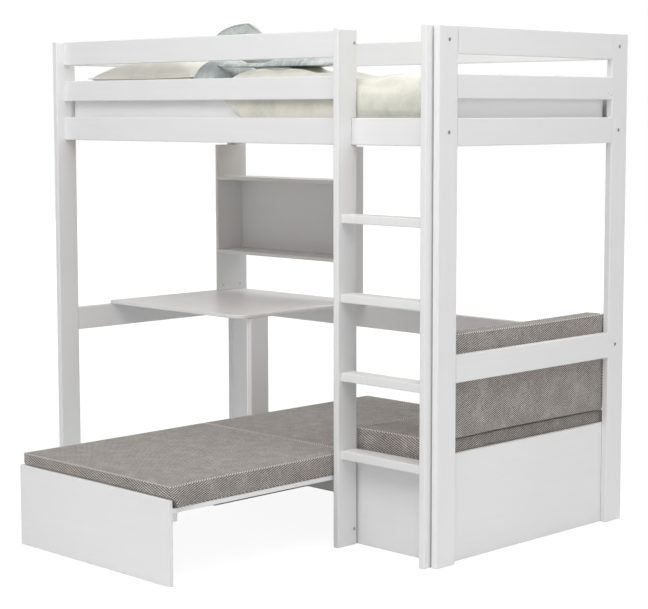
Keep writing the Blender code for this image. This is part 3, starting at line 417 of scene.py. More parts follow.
def tweed():
    """A coarse weave: pale beads over a dark ground, where two runs of slanting ribs cross."""
    made = Material("tweed", 0.92, sheen=0.25, specular=0.2)
    u, v = made.weave_map()
    flat = made.joined(u, v)
    wobble = made.times(made.noise(flat, 200.0, 2.0), 0.35)
    ribs = []
    for pitch, slope in TWEED_RIBS:
        turn = math.radians(slope)
        place = made.maths("MULTIPLY_ADD", v, math.cos(turn) / pitch, wobble)
        place = made.maths("MULTIPLY_ADD", u, -math.sin(turn) / pitch, place)
        ribs.append(made.maths("PINGPONG", place, 0.5))
    second = made.times(ribs[1], TWEED_RIB_SHARES[1])
    height = made.maths("MULTIPLY_ADD", ribs[0], TWEED_RIB_SHARES[0], second)
    yarn = made.noise(made.scaled(flat, TWEED_YARN), 1.0, 2.0)
    fleck = made.noise(flat, 900.0, 1.0)
    cast = made.noise(flat, 13.0, 4.0, 0.6)
    pale = made.times(made.spread(height, 0.42, 0.64),
                      made.spread(yarn, 0.30, 0.65, 0.60, 1.0))
    colour = made.mix(pale, TWEED_DARK, TWEED_LIGHT)
    colour = made.mix(made.spread(fleck, 0.60, 0.72, 0.0, 0.5), colour, TWEED_LIGHT)
    colour = made.mix(made.spread(fleck, 0.28, 0.40, 0.5, 0.0), colour, TWEED_DARK)
    colour = made.mix(made.spread(cast, 0.46, 0.70, 0.0, 0.20), colour, TWEED_DARK)
    colour = made.mix(made.spread(cast, 0.30, 0.46, 0.16, 0.0), colour, TWEED_LIGHT)
    normal = made.bump(height, 0.65, 0.0016)
    normal = made.bump(fleck, 0.25, 0.0006, normal)
    return made.finish(colour, normal)


def cord():
    """The seams' cord: pale strands twisted round a dark one."""
    made = Material("tweed_cord", 0.90, sheen=0.2, specular=0.2)
    u, v = made.weave_map()
    twist = made.maths("MULTIPLY_ADD", v, 1 / (2 * math.pi * PIPING_RADIUS),
                       made.times(u, 1 / CORD_STRAND))
    height = made.maths("PINGPONG", twist, 0.5)
    fibre = made.noise(made.joined(u, v), 1500.0, 2.0)
    colour = made.mix(made.spread(height, 0.14, 0.28), TWEED_DARK, CORD_LIGHT)
    colour = made.mix(made.spread(fibre, 0.35, 0.65, 0.20, 0.0), colour, TWEED_LIGHT)
    return made.finish(colour, made.bump(made.maths("ADD", height, fibre), 0.6, 0.0010))


def printed_cotton(name, base, shade, light, veins_shown, scale, streak=1.0):
    """Plain woven cotton with soft washes of colour, pale veins and small flecks."""
    made = Material(name, 0.88, sheen=0.18, specular=0.25)
    u, v = made.weave_map()
    flat = made.joined(u, made.times(v, streak))
    wash = made.noise(flat, scale, 5.0, 0.55)
    cloud = made.noise(flat, 2.1 * scale, 5.0, 0.6)
    veins = made.maths("ABSOLUTE", made.maths("SUBTRACT", cloud, 0.5))
    specks = made.node("TexVoronoi", {"Vector": flat, "Scale": 46.0})
    speck = made.spread(specks.outputs["Distance"], 0.10, 0.16, 1.0, 0.0)
    kept = made.spread(made.noise(flat, 15.0, 1.0), 0.50, 0.58)
    colour = made.mix(made.spread(wash, 0.46, 0.68), base, shade)
    colour = made.mix(made.spread(veins, 0.0, 0.045, veins_shown, 0.0), colour, light)
    flecks = made.times(made.times(speck, kept), 0.45)
    colour = made.mix(flecks, colour, shade)
    threads = [made.maths("PINGPONG", made.times(run, COTTON_THREADS), 0.5)
               for run in (u, v)]
    normal = made.bump(made.noise(flat, 30.0, 4.0, 0.6), 0.22, 0.004)
    normal = made.bump(made.maths("ADD", *threads), 0.15, 0.0003, normal)
    return made.finish(colour, normal)


def ticking():
    """The mattress cover: a close white knit with small raised diamonds."""
    made = Material("ticking", 0.85, sheen=0.2, specular=0.25)
    u, v = made.weave_map()
    slopes = []
    for operation in ("ADD", "SUBTRACT"):
        slope = made.times(made.maths(operation, u, v), TICKING_DIAMONDS)
        slopes.append(made.maths("PINGPONG", slope, 0.5))
    diamond = made.times(*slopes)
    flat = made.joined(u, v)
    knit = made.noise(flat, 1100.0, 2.0)
    cast = made.noise(flat, 5.0)
    colour = made.mix(made.spread(diamond, 0.02, 0.16), TICKING_SHADE, TICKING)
    colour = made.mix(made.spread(cast, 0.45, 0.75, 0.0, 0.4), colour, TICKING_SHADE)
    normal = made.bump(diamond, 0.30, 0.0022)
    normal = made.bump(knit, 0.15, 0.0004, normal)
    return made.finish(colour, normal)


def floor_white():
    """Shown white, but for the soft shadow that the object leaves on it."""
    made = Material("floor_white", 0.9, specular=0.0)
    made.feed(made.shader.inputs["Base Color"], (*FLOOR_COLOUR, 1.0))
    away = made.node("VectorMath", {0: made.place()}, operation="LENGTH").outputs["Value"]
    white = made.spread(away, FLOOR_NEAR, FLOOR_FAR, FLOOR_NEAR_WHITE, 1.0)
    shown = made.node("Emission", {"Color": WHITE, "Strength": FLOOR_SHOWN})
    seen = made.node("LightPath").outputs["Is Camera Ray"]
    both = made.node("MixShader", {0: made.times(seen, white),
                                   1: made.shader.outputs[0], 2: shown.outputs[0]})
    made.feed(made.tree.nodes["Material Output"].inputs["Surface"], both.outputs[0])
    return made.material


MATERIALS = {
    "bolt": bolt_steel(),
    "tweed": tweed(),
    "cord": cord(),
    "cream": printed_cotton("cream_cotton", CREAM, CREAM_SHADE, CREAM_LIGHT,
                            COTTON_VEINS, COTTON_WASH),
    "pillow_cream": printed_cotton("pale_cream_cotton", PALE_CREAM, CREAM, PALE_CREAM_LIGHT,
                                   COTTON_VEINS, COTTON_WASH),
    "blue_grey": printed_cotton("blue_grey_cotton", BLUE_GREY, BLUE_GREY_DARK, BLUE_GREY_LIGHT,
                                BLUE_GREY_VEINS, BLUE_GREY_WASH, BLUE_GREY_STREAK),
    "ticking": ticking(),
}
PAINTED = [painted_wood(axis) for axis in range(3)]
PINE = [bare_pine(axis) for axis in range(3)]


def dress_cad_nodes():
    """Paint, bare wood and steel for the CAD nodes, with the grain along each board."""
    slots = {part["node"]: part["material_slot"] for part in frame["record"]["subparts"]}
    for name, obj in frame["nodes"].items():
        low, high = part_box(name)
        axis = max(range(3), key=lambda i: (high - low)[i])
        if slots[name] == "painted_wood":
            material = PAINTED[axis]
        elif slots[name] == "bare_wood":
            material = PINE[0 if name.endswith("ledger") else 1]
        elif slots[name] == "steel":
            material = MATERIALS["bolt"]
        else:
            continue
        obj.data.materials.clear()
        obj.data.materials.append(material)


# --- Mesh helpers


def link(name, bm, material, shade_smooth=True):
    """An object from a mesh, with its faces turned outwards."""
    bmesh.ops.recalc_face_normals(bm, faces=bm.faces)
    if bm.calc_volume(signed=True) < 0:
        bmesh.ops.reverse_faces(bm, faces=bm.faces)
    mesh = bpy.data.meshes.new(name)
    bm.to_mesh(mesh)
    bm.free()
    if shade_smooth:
        mesh.shade_smooth()
    mesh.materials.append(material)
    obj = bpy.data.objects.new(name, mesh)
    scene.collection.objects.link(obj)
    return obj


def settle(obj, body, nodes=()):
    """A finished piece: what it rides on, and what it stands for."""
    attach(obj, body)
    if nodes:
        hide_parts(*nodes)


def swell(obj, cap, pinned, pressure, tension, bending, shrink):
    """Blow a closed cloth shape up, hold its seams, and keep what comes of it, up to a cap."""
    mesh = obj.data
    start = np.array([vert.co for vert in mesh.vertices])
    group = obj.vertex_groups.new(name="pinned")
    modifier = obj.modifiers.new("cloth", "CLOTH")
    settings = modifier.settings
    for key, value in CLOTH.items():
        setattr(settings, key, value)
    settings.tension_stiffness = tension
    settings.compression_stiffness = tension
    settings.shear_stiffness = tension / 2
    settings.bending_stiffness = bending
    settings.uniform_pressure_force = pressure
    settings.shrink_min = shrink
    settings.effector_weights.gravity = 0.0
    if pinned:
        group.add(pinned, 1.0, "REPLACE")
        settings.vertex_group_mass = group.name
    modifier.collision_settings.use_collision = False
    modifier.point_cache.frame_end = CLOTH_FRAMES
    for step in range(1, CLOTH_FRAMES + 1):
        scene.frame_set(step)
    shown = obj.evaluated_get(bpy.context.evaluated_depsgraph_get()).data
    moved = np.array([vert.co for vert in shown.vertices]) - start
    far = np.linalg.norm(moved, axis=1, keepdims=True)
    moved *= np.minimum(1.0, cap / np.maximum(far, 1e-9))
    mesh.vertices.foreach_set("co", (start + moved).astype(np.float32).ravel())
    obj.modifiers.remove(modifier)
    obj.vertex_groups.remove(group)
    mesh.update()
    scene.frame_set(1)


def smooth(obj):
    obj.modifiers.new("smooth", "SUBSURF").render_levels = 1


def grid_lines(low, high, cell, edge):
    """Places along one side of a pad: close together at its edges, then evenly spaced."""
    inner_low, inner_high = low + edge, high - edge
    count = max(2, round((inner_high - inner_low) / cell))
    inner = [inner_low + (inner_high - inner_low) * i / count for i in range(count + 1)]
    return [low, *inner, high]


def crease_seams(bm, rings):
    """Keep the edges along rings of verts sharp when the mesh is subdivided."""
    layer = bm.edges.layers.float.new("crease_edge")
    for ring in rings:
        for first, second in zip(ring, ring[1:] + ring[:1]):
            bm.edges.get((first, second))[layer] = SEAM_CREASE


def grid_key(axis, end, i, j):
    """A place in a pad's grid: on an end face of one axis, i and j cells along the others."""
    key = [i, j]
    key.insert(axis, end)
    return tuple(key)


def pad_mesh(low, high, cells, edge):
    """A box's surface as a grid with rounded edges, its verts by place in the grid, and the
    number of cells each way. The cloth's map is in metres, with the front cut the other way."""
    lines = [grid_lines(low[i], high[i], cells[i], edge) for i in range(3)]
    counts = [len(line) - 1 for line in lines]
    bm = bmesh.new()
    uv_layer = bm.loops.layers.uv.new("weave")
    verts = {}

    def vert(key):
        if key not in verts:
            place = Vector([lines[i][key[i]] for i in range(3)])
            core = Vector([min(max(place[i], low[i] + edge), high[i] - edge) for i in range(3)])
            out = place - core
            if out.length > 0:
                place = core + out.normalized() * edge
            verts[key] = bm.verts.new(place)
        return verts[key]

    for axis in range(3):
        first, second = [i for i in range(3) if i != axis]
        for end, i, j in product((0, counts[axis]), range(counts[first]), range(counts[second])):
            keys = [grid_key(axis, end, a, b)
                    for a, b in ((i, j), (i + 1, j), (i + 1, j + 1), (i, j + 1))]
            face = bm.faces.new([vert(key) for key in keys])
            for loop, key in zip(face.loops, keys):
                place = Vector((lines[first][key[first]], lines[second][key[second]]))
                if axis == 1:
                    place = Vector((-place.x, place.y))
                loop[uv_layer].uv = place / WEAVE_SCALES[axis]
    bm.verts.index_update()
    return bm, verts, counts


def tube_round(path, radius, sides, name, material):
    """A closed tube along a ring of points, with a map that runs along it."""
    bm = bmesh.new()
    uv_layer = bm.loops.layers.uv.new("weave")
    count = len(path)
    heads = [(path[(i + 1) % count] - path[i - 1]).normalized() for i in range(count)]
    ups = [heads[0].orthogonal().normalized()]
    for before, after in zip(heads, heads[1:] + heads[:1]):
        up = before.rotation_difference(after) @ ups[-1]
        ups.append((up - after * up.dot(after)).normalized())
    gap = ups[-1].angle(ups[0])
    if ups[-1].cross(ups[0]).dot(heads[0]) < 0:
        gap = -gap
    rings, run = [], [0.0]
    for i, point in enumerate(path):
        up = Matrix.Rotation(gap * i / count, 3, heads[i]) @ ups[i]
        side = up.cross(heads[i])
        angles = [2 * math.pi * j / sides for j in range(sides)]
        rings.append([bm.verts.new(point + radius * (side * math.cos(a) + up * math.sin(a)))
                      for a in angles])
        run.append(run[-1] + (path[(i + 1) % count] - point).length)
    for i in range(count):
        following = rings[(i + 1) % count]
        for j in range(sides):
            k = (j + 1) % sides
            face = bm.faces.new((rings[i][j], rings[i][k], following[k], following[j]))
            ends = ((run[i], j), (run[i], j + 1), (run[i + 1], j + 1), (run[i + 1], j))
            for loop, (u, turn) in zip(face.loops, ends):
                loop[uv_layer].uv = (u, turn / sides * 2 * math.pi * radius)
    return link(name, bm, material)


# --- Box cushions


def edge_ring(counts, axis, end):
    """The keys round one end face of a pad, in order."""
    a, b = [counts[i] for i in range(3) if i != axis]
    steps = [(i, 0) for i in range(a)] + [(a, j) for j in range(b)]
    steps += [(i, b) for i in range(a, 0, -1)] + [(0, j) for j in range(b, 0, -1)]
    return [grid_key(axis, end, i, j) for i, j in steps]


def box_cushion(name, node, body, axis, seed, crown=CUSHION_CROWN, ends=(0.0, 0.0),
                over_panel=False, rests=(), sunk=None):
    """A boxed cushion, thin along one axis: two faces, a boxing strip and corded seams.

    ends make it longer at the front and the back. over_panel leans its front end back behind
    the panel it rests against, rests tell where it is held flat, and sunk moves its cord where
    it lies deep in a crease."""
    low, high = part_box(node)
    inset = Vector([CUSHION_INSET] * 3)
    low, high = low + inset, high - inset
    high[axis] -= crown
    if axis == 0:
        low[axis] += crown
    low.y -= ends[0]
    high.y += ends[1]
    cells = [BOXING_CELL if i == axis else CUSHION_CELL for i in range(3)]
    bm, verts, counts = pad_mesh(low, high, cells, CUSHION_ROUND)
    middle = (low + high) / 2
    half = (high - low) / 2
    first, second = [i for i in range(3) if i != axis]
    held = set()
    for key, vert in verts.items():
        share = [(vert.co[i] - middle[i]) / half[i] for i in range(3)]
        for i, other in ((first, second), (second, first)):
            vert.co[i] -= share[i] * CUSHION_WAIST * (1 - share[other] ** 2)
        worn = noise.noise(DENT_SCALES[0] * vert.co + Vector((seed, 0, 0)))
        fine = noise.noise(DENT_SCALES[1] * vert.co + Vector((0, seed, 0)))
        inside = (1 - share[first] ** 4) * (1 - share[second] ** 4)
        if key[axis] in (0, counts[axis]):
            dent = CUSHION_DENTS * (worn + DENT_FINE_SHARE * fine)
            vert.co[axis] += math.copysign(inside, share[axis]) * dent
        if over_panel:
            near_front = max(0.0, -share[1]) ** FRONT_POWER
            vert.co.x += FRONT_CORNER_OUT * near_front * max(0.0, share[0]) ** CORNER_POWER
            vert.co.y += np.interp(share[2], FRONT_END_SHARES, FRONT_END_LEAN) * near_front
            vert.co.z += np.interp(share[2], FRONT_END_SHARES, FRONT_END_LIFT) * near_front
            if share[1] < FRONT_FACE_SHARE and share[2] < 0:
                held.add(vert.index)
        if axis == 2 and key[2] == 0 or any(rest(vert.co) for rest in rests):
            held.add(vert.index)
    rings = [[verts[key] for key in edge_ring(counts, axis, end)] for end in (0, counts[axis])]
    crease_seams(bm, rings)
    seams = [[vert.index for vert in ring] for ring in rings]
    held.update(seams[0], seams[1])
    obj = link(name, bm, MATERIALS["tweed"])
    swell(obj, CUSHION_CAP, sorted(held), **CUSHION_CLOTH)
    for end, seam in zip(("low", "high"), seams):
        path = [obj.data.vertices[i].co.copy() for i in seam]
        if sunk:
            path = [sunk(point) for point in path]
        lies_under = axis == 2 and end == "low"
        cord_piece = tube_round(path, PIPING_RADIUS, PIPING_SIDES, f"{name}_{end}_cord",
                                MATERIALS["tweed" if lies_under else "cord"])
        settle(cord_piece, body)
    smooth(obj)
    settle(obj, body, (node,))


def make_cushions():
    back_low, back_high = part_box("back_cushion")
    seat_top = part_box("seat_cushion")[1].z

    def under_back(point):
        return point.x > back_low.x - CUSHION_ROUND and point.z > seat_top - CUSHION_REST_ZONE

    def on_seat(point):
        return point.z < back_low.z + CUSHION_REST_ZONE

    def in_crease(point):
        """The cord of the crease between back and seat goes deeper than the cloth beside it."""
        level = abs(point.z - back_low.z) < CUSHION_REST_ZONE
        near = level and point.x > back_high.x - CREASE_ZONE
        away = 1 if point.z > back_low.z else -1
        return point + Vector((-1, 0, away)) * CREASE_DEEP if near else point

    box_cushion("guest_front_pad", "guest_front_cushion", "front_cushion", axis=2, seed=1.0,
                crown=GUEST_CROWN, ends=(FRONT_LONGER, -HINGE_SHORTER), over_panel=True)
    box_cushion("guest_rear_pad", "guest_rear_cushion", "frame", axis=2, seed=7.0,
                crown=GUEST_CROWN, ends=(-HINGE_SHORTER, 0.0))
    box_cushion("seat_pad", "seat_cushion", "frame", axis=2, seed=13.0,
                ends=(0.0, SEAT_LONGER), rests=(under_back,), sunk=in_crease)
    box_cushion("back_pad", "back_cushion", "frame", axis=0, seed=23.0,
                ends=(0.0, BACK_LONGER), rests=(on_seat,), sunk=in_crease)


# --- Bedding


def sewn_pillow(name, size, material, under_share, seed, waist, corner=0.0, round_power=0.5):
    """Two sheets sewn round their edge and blown up into a pillow, then a cord at the seam.

    corner draws the corners in, waist the sides, and a higher round_power makes thinner edges."""
    half = Vector(size) / 2
    counts = [max(8, round(size[i] / PILLOW_CELL)) for i in range(2)]
    bm = bmesh.new()
    uv_layer = bm.loops.layers.uv.new("weave")
    verts = {}

    def vert(i, j, side):
        u = 2 * i / counts[0] - 1
        v = 2 * j / counts[1] - 1
        edge = abs(u) == 1 or abs(v) == 1
        key = (i, j, 0 if edge else side)
        if key not in verts:
            share = under_share if side < 0 else 1 - under_share
            pulled = corner * u * u * v * v
            x = u * half.x * (1 - waist * (1 - v * v) - pulled)
            y = v * half.y * (1 - waist * (1 - u * u) - pulled)
            full = max(0.0, (1 - u * u) * (1 - v * v)) ** round_power
            z = side * share * 2 * half.z * full * PILLOW_BEFORE_SWELL
            # Creases run in from the seam and fade towards the middle
            turn = math.atan2(v, u) * PILLOW_FANS_ROUND + seed
            fan = noise.noise(Vector((turn, PILLOW_FAN_LONG * math.hypot(u, v), side * 3.0)))
            fine = noise.noise(Vector((x * PILLOW_FINE_SCALE, y * PILLOW_FINE_SCALE + seed,
                                       side * 5.0)))
            if not edge:
                crease = PILLOW_FAN * fan * (u * u + v * v) / 2 + PILLOW_FINE * fine
                z += crease * min(1.0, full * 3)
            verts[key] = bm.verts.new((x, y, z))
        return verts[key]

    for i, j, side in product(range(counts[0]), range(counts[1]), (-1, 1)):
        corners = ((i, j), (i + 1, j), (i + 1, j + 1), (i, j + 1))
        face = bm.faces.new([vert(a, b, side) for a, b in corners])
        for loop, (a, b) in zip(face.loops, corners):
            loop[uv_layer].uv = (a * size[0] / counts[0] + seed, b * size[1] / counts[1])
    bm.verts.index_update()
    ring = [verts[key] for key in edge_ring((*counts, 0), 2, 0)]
    crease_seams(bm, [ring])
    seam = [vert.index for vert in ring]
    obj = link(name, bm, material)
    swell(obj, PILLOW_CAP, (), **PILLOW_CLOTH)
    path = [obj.data.vertices[i].co.copy() for i in seam]
    return obj, tube_round(path, PILLOW_SEAM, PIPING_SIDES, name + "_seam", material)


def place_pillow(pieces, matrix, node):
    """Turn a pillow and its seam into place, flat where they touch the mattress."""
    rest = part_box("mattress")[1].z + REST_GAP
    pillow, seam = pieces
    for piece in pieces:
        piece.data.transform(matrix)
        for vert in piece.data.vertices:
            vert.co.z = max(vert.co.z, rest)
    smooth(pillow)
    settle(pillow, "frame", (node,))
    settle(seam, "frame")


def make_lying_pillow(name, node, material, shape, narrower=0.0):
    low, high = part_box(node)
    high.x -= narrower
    size = high - low
    middle = (low + high) / 2
    middle.z = low.z + size.z * PILLOW_UNDER
    pieces = sewn_pillow(name, size, MATERIALS[material], PILLOW_UNDER, **shape)
    place_pillow(pieces, Matrix.Translation(middle), node)
    return pieces[0]


def make_pillows():
    """The three pillows. Returns the one that the duvet's turned part lies on."""
    make_lying_pillow("sleeping_pillow", "pillow", "pillow_cream", PILLOW_SHAPE)
    pieces = sewn_pillow("leaning_cushion", LEANING_SIZE, MATERIALS["blue_grey"], LEANING_UNDER,
                         **LEANING_SHAPE)
    low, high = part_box("leaning_pillow")
    middle = (low + high) / 2 + LEANING_SHIFT
    place_pillow(pieces, Matrix.LocRotScale(middle, Euler(LEANING_TURN), None),
                 "leaning_pillow")
    return make_lying_pillow("accent_pillow", "small_pillow", "blue_grey",
                             ACCENT_SHAPE, ACCENT_NARROWER)


def rounded_corners(place, middle, half, radius):
    """A point of a box, drawn in so that the box's upright edges are round."""
    out = [1 if place[i] > middle[i] else -1 for i in (0, 1)]
    centre = [middle[i] + out[i] * (half[i] - radius) for i in (0, 1)]
    away = [(place[i] - centre[i]) * out[i] for i in (0, 1)]
    if min(away) > 0:
        share = max(away) / math.hypot(*away)
        for i in (0, 1):
            place[i] = centre[i] + out[i] * away[i] * share


def make_mattress():
    """A quilted cover, tufted on top, with a cord round its upper and lower edges."""
    low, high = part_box("mattress")
    low.x -= MATTRESS_OUT
    inset = Vector((MATTRESS_INSET, MATTRESS_INSET, 0))
    bm, verts, counts = pad_mesh(low + inset, high - inset - Vector((0, 0, MATTRESS_CROWN)),
                                 [MATTRESS_CELL] * 3, MATTRESS_ROUND)
    held = set()
    for key, vert in verts.items():
        rounded_corners(vert.co, (low + high) / 2, (high - low) / 2, MATTRESS_CORNER)
        tuft = key[0] % TUFT_STEP == key[1] % TUFT_STEP == TUFT_STEP // 2
        if key[2] == counts[2] and tuft:
            vert.co.z -= TUFT_DEEP
            held.add(vert.index)
        elif key[2] == 0:
            held.add(vert.index)
    rings = [[verts[key].index for key in edge_ring(counts, 2, end)] for end in (0, counts[2])]
    held.update(rings[0], rings[1])
    obj = link("mattress_cover", bm, MATERIALS["ticking"])
    swell(obj, MATTRESS_CROWN, sorted(held), **MATTRESS_CLOTH)
    for end, ring in zip(("low", "high"), rings):
        path = [obj.data.vertices[i].co.copy() for i in ring]
        edge = tube_round(path, MATTRESS_PIPING, PIPING_SIDES, f"mattress_{end}_edge",
                          MATERIALS["ticking"])
        settle(edge, "frame")
    smooth(obj)
    settle(obj, "frame", ("mattress",))


def round_share(distance, width):
    """How far a rounded edge has risen at a distance from its rim, from 0 to 1."""
    return math.sqrt(max(0.0, 1 - (1 - min(1.0, max(0.0, distance) / width)) ** 2))


def ripple(x, y, field):
    """Noise over a sheet. A field is a scale each way, a start along x and a level."""
    return noise.noise(Vector((x * field[0] + field[2], y * field[1], field[3])))


def shell(name, inner, outer, material):
    """A closed padded sheet between two grids of points, and the indices of its verts by grid."""
    bm = bmesh.new()
    uv_layer = bm.loops.layers.uv.new("weave")
    grids = [[[bm.verts.new(point) for point in column] for column in grid]
             for grid in (inner, outer)]
    bm.verts.index_update()
    lengths = []
    for column in outer:
        run = [0.0]
        for point, following in zip(column, column[1:]):
            run.append(run[-1] + (following - point).length)
        lengths.append(run)

    def add(corners):
        face = bm.faces.new([grids[side][i][j] for side, i, j in corners])
        for loop, (side, i, j) in zip(face.loops, corners):
            loop[uv_layer].uv = (outer[i][j].x, lengths[i][j])

    wide, long = len(outer), len(outer[0])
    for i in range(wide - 1):
        for j in range(long - 1):
            for side in (0, 1):
                add([(side, a, b) for a, b in ((i, j), (i + 1, j), (i + 1, j + 1), (i, j + 1))])
        for j in (0, long - 1):
            add(((0, i, j), (0, i + 1, j), (1, i + 1, j), (1, i, j)))
    for j in range(long - 1):
        for i in (0, wide - 1):
            add(((0, i, j), (0, i, j + 1), (1, i, j + 1), (1, i, j)))
    indices = [[[vert.index for vert in column] for column in grid] for grid in grids]
    return link(name, bm, material), indices


def make_quilt():
    """The duvet: thick on top of the bed, heaped and rolled at its left, hanging at the front."""
    low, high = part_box("duvet")
    low.x -= QUILT_OUT
    bed_low, bed_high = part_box("mattress")
    rail_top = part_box("front_side_rail")[1].z
    opening_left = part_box("ladder_left_upright")[1].x
    opening_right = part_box("ladder_right_upright")[0].x
    top, front = bed_high.z + REST_GAP, bed_low.y - REST_GAP
    turn = front + QUILT_TURN

    def rise(x, y):
        """How thick the duvet is at a place on the mattress."""
        along, back = x - low.x, y - bed_low.y
        near = math.exp(-((back - FRONT_EDGE_BACK) / FRONT_EDGE_WIDTH) ** 2)
        heap = HEAP_HIGH * math.exp(-((along - HEAP_ALONG) / HEAP_LONG) ** 2
                                    - ((back - HEAP_BACK) / HEAP_DEEP) ** 2)
        roll = ROLL_HIGH * near * (1 - min(1.0, max(0.0, (along - ROLL_END) / ROLL_FADE)))
        slant = along + WAVE_SLANT * back + WAVE_START
        wave = WAVE_HIGH * math.sin(2 * math.pi * slant / WAVE_LONG)
        ridge = (1 - abs(ripple(x, y, QUILT_RIDGE_FIELD))) ** QUILT_RIDGE_POWER
        small = ripple(x, y, QUILT_SMALL_FIELD)
        full = (QUILT_THICK + heap + roll + wave + QUILT_RIDGE * (ridge - QUILT_RIDGE_BASE)
                + QUILT_SMALL * small)
        end_round = QUILT_END_ROUND + QUILT_END_ROUND * (1 - near)
        ends = round_share(along, end_round) * round_share(high.x - x, QUILT_RIGHT_ROUND)
        rear = round_share(high.y - y, QUILT_REAR_ROUND)
        return QUILT_RIM + (full - QUILT_RIM) * ends * rear

    inner, outer = [], []
    for i in range(QUILT_ACROSS + 1):
        x = low.x + (high.x - low.x) * i / QUILT_ACROSS
        near_left = max(0.0, 1 - (x - low.x) / HEM_RUN)
        hem = low.z + HEM_LIFT + HEM_RISE * near_left ** HEM_POWER
        gather = 0.5 + 0.5 * math.cos(2 * math.pi * (x - low.x) / HEM_FOLD_LONG)
        place = (x - opening_left) / (opening_right - opening_left)
        puff = math.sin(math.pi * place) ** BELLY_POWER if 0 < place < 1 else 0.0
        under, over = [], []
        for j in range(QUILT_TOP):
            y = high.y + (turn - high.y) * j / QUILT_TOP
            under.append(Vector((x, y, top)))
            over.append(Vector((x, y, top + rise(x, y))))
        for j in range(QUILT_CORNER):
            angle = math.pi / 2 * j / QUILT_CORNER
            under.append(Vector((x, turn - QUILT_TURN * math.sin(angle),
                                 top - QUILT_TURN * (1 - math.cos(angle)))))
            over.append(Vector((x, turn - (QUILT_TURN + QUILT_SIDE) * math.sin(angle),
                                top - QUILT_TURN + (rise(x, turn) + QUILT_TURN) * math.cos(angle))))
        for j in range(QUILT_DOWN + 1):
            share = j / QUILT_DOWN
            z = top - QUILT_TURN + (hem - top + QUILT_TURN) * share
            above = max(0.0, min(1.0, (z - rail_top - OVER_RAIL) / OVER_RAIL_FADE))
            round_down = math.sqrt(math.sin(math.pi * min(1.0, BELLY_START + share)))
            belly = BELLY_OUT * puff * round_down
            crease = FRONT_CREASE * ripple(x, z, FRONT_CREASE_FIELD)
            fold = HEM_FOLD * gather * near_left
            under.append(Vector((x, front, z)))
            over.append(Vector((x, front - QUILT_SIDE - (belly + crease + fold) * above, z)))
        inner.append(under)
        outer.append(over)
    obj, (under, over) = shell("quilt", inner, outer, MATERIALS["cream"])
    hanging = QUILT_TOP + QUILT_CORNER
    held = [i for column in under for i in column]
    held += [i for column in over for i in column[hanging:]]
    swell(obj, QUILT_CAP, held, **QUILT_CLOTH)
    smooth(obj)
    settle(obj, "frame", ("duvet",))
    return obj


def make_turned_back(*carriers):
    """The duvet's reverse, turned back over the heap in loose pleats. Its left end bridges the
    gap between the duvet and the small pillow."""
    bed_low, bed_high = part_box("mattress")
    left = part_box("duvet")[0].x
    depsgraph = bpy.context.evaluated_depsgraph_get()
    trees = [BVHTree.FromObject(carrier, depsgraph) for carrier in carriers]
    inner, outer = [], []
    for i in range(FLAP_ACROSS + 1):
        under, over = [], []
        for j in range(FLAP_ALONG + 1):
            across, along = i / FLAP_ACROSS, j / FLAP_ALONG
            wave = FLAP_WAVE * math.sin(FLAP_WAVE_RUN * along + FLAP_WAVE_START)
            start = left - FLAP_PAST_LEFT * (1 - along) ** FLAP_LEFT_POWER + wave
            end = left + FLAP_RIGHT[0] + (FLAP_RIGHT[1] - FLAP_RIGHT[0]) * along + wave
            x = start + (end - start) * across
            run = min(1.0, max(0.0, (x - left + FLAP_PAST_LEFT) / FLAP_NEAR_RUN))
            near = (FLAP_NEAR[0] + (FLAP_NEAR[1] - FLAP_NEAR[0]) * run
                    + FLAP_NEAR_WAVE * math.sin(FLAP_NEAR_WAVE_RUN * across))
            y = bed_low.y + near + (FLAP_DEEP - near) * along
            above = Vector((x, y, RAY_START))
            hits = [tree.ray_cast(above, Vector((0, 0, -1)))[0] for tree in trees]
            lift = [hit.z for hit in hits if hit] + [bed_high.z + FLAP_ROOF]
            edge = min(round_share((end - start) * min(across, 1 - across), FLAP_ROUND),
                       round_share(FLAP_DEEP * min(along, 1 - along), FLAP_ROUND))
            slant = x * FLAP_PLEAT_SLANT[0] - y * FLAP_PLEAT_SLANT[1]
            pleat = (1 - abs(ripple(slant, x + y, FLAP_PLEAT_FIELD))) ** FLAP_PLEAT_POWER
            small = ripple(x, y, FLAP_SMALL_FIELD)
            thick = FLAP_THICK + FLAP_PLEAT * pleat + FLAP_SMALL * small
            base = max(lift) + FLAP_GAP
            under.append(Vector((x, y, base)))
            over.append(Vector((x, y, base + FLAP_RIM + (thick - FLAP_RIM) * edge)))
        inner.append(under)
        outer.append(over)
    obj, (under, _) = shell("quilt_turned_back", inner, outer, MATERIALS["blue_grey"])
    swell(obj, FLAP_CAP, [i for column in under for i in column], **FLAP_CLOTH)
    smooth(obj)
    settle(obj, "frame", ())


# --- Fastenings


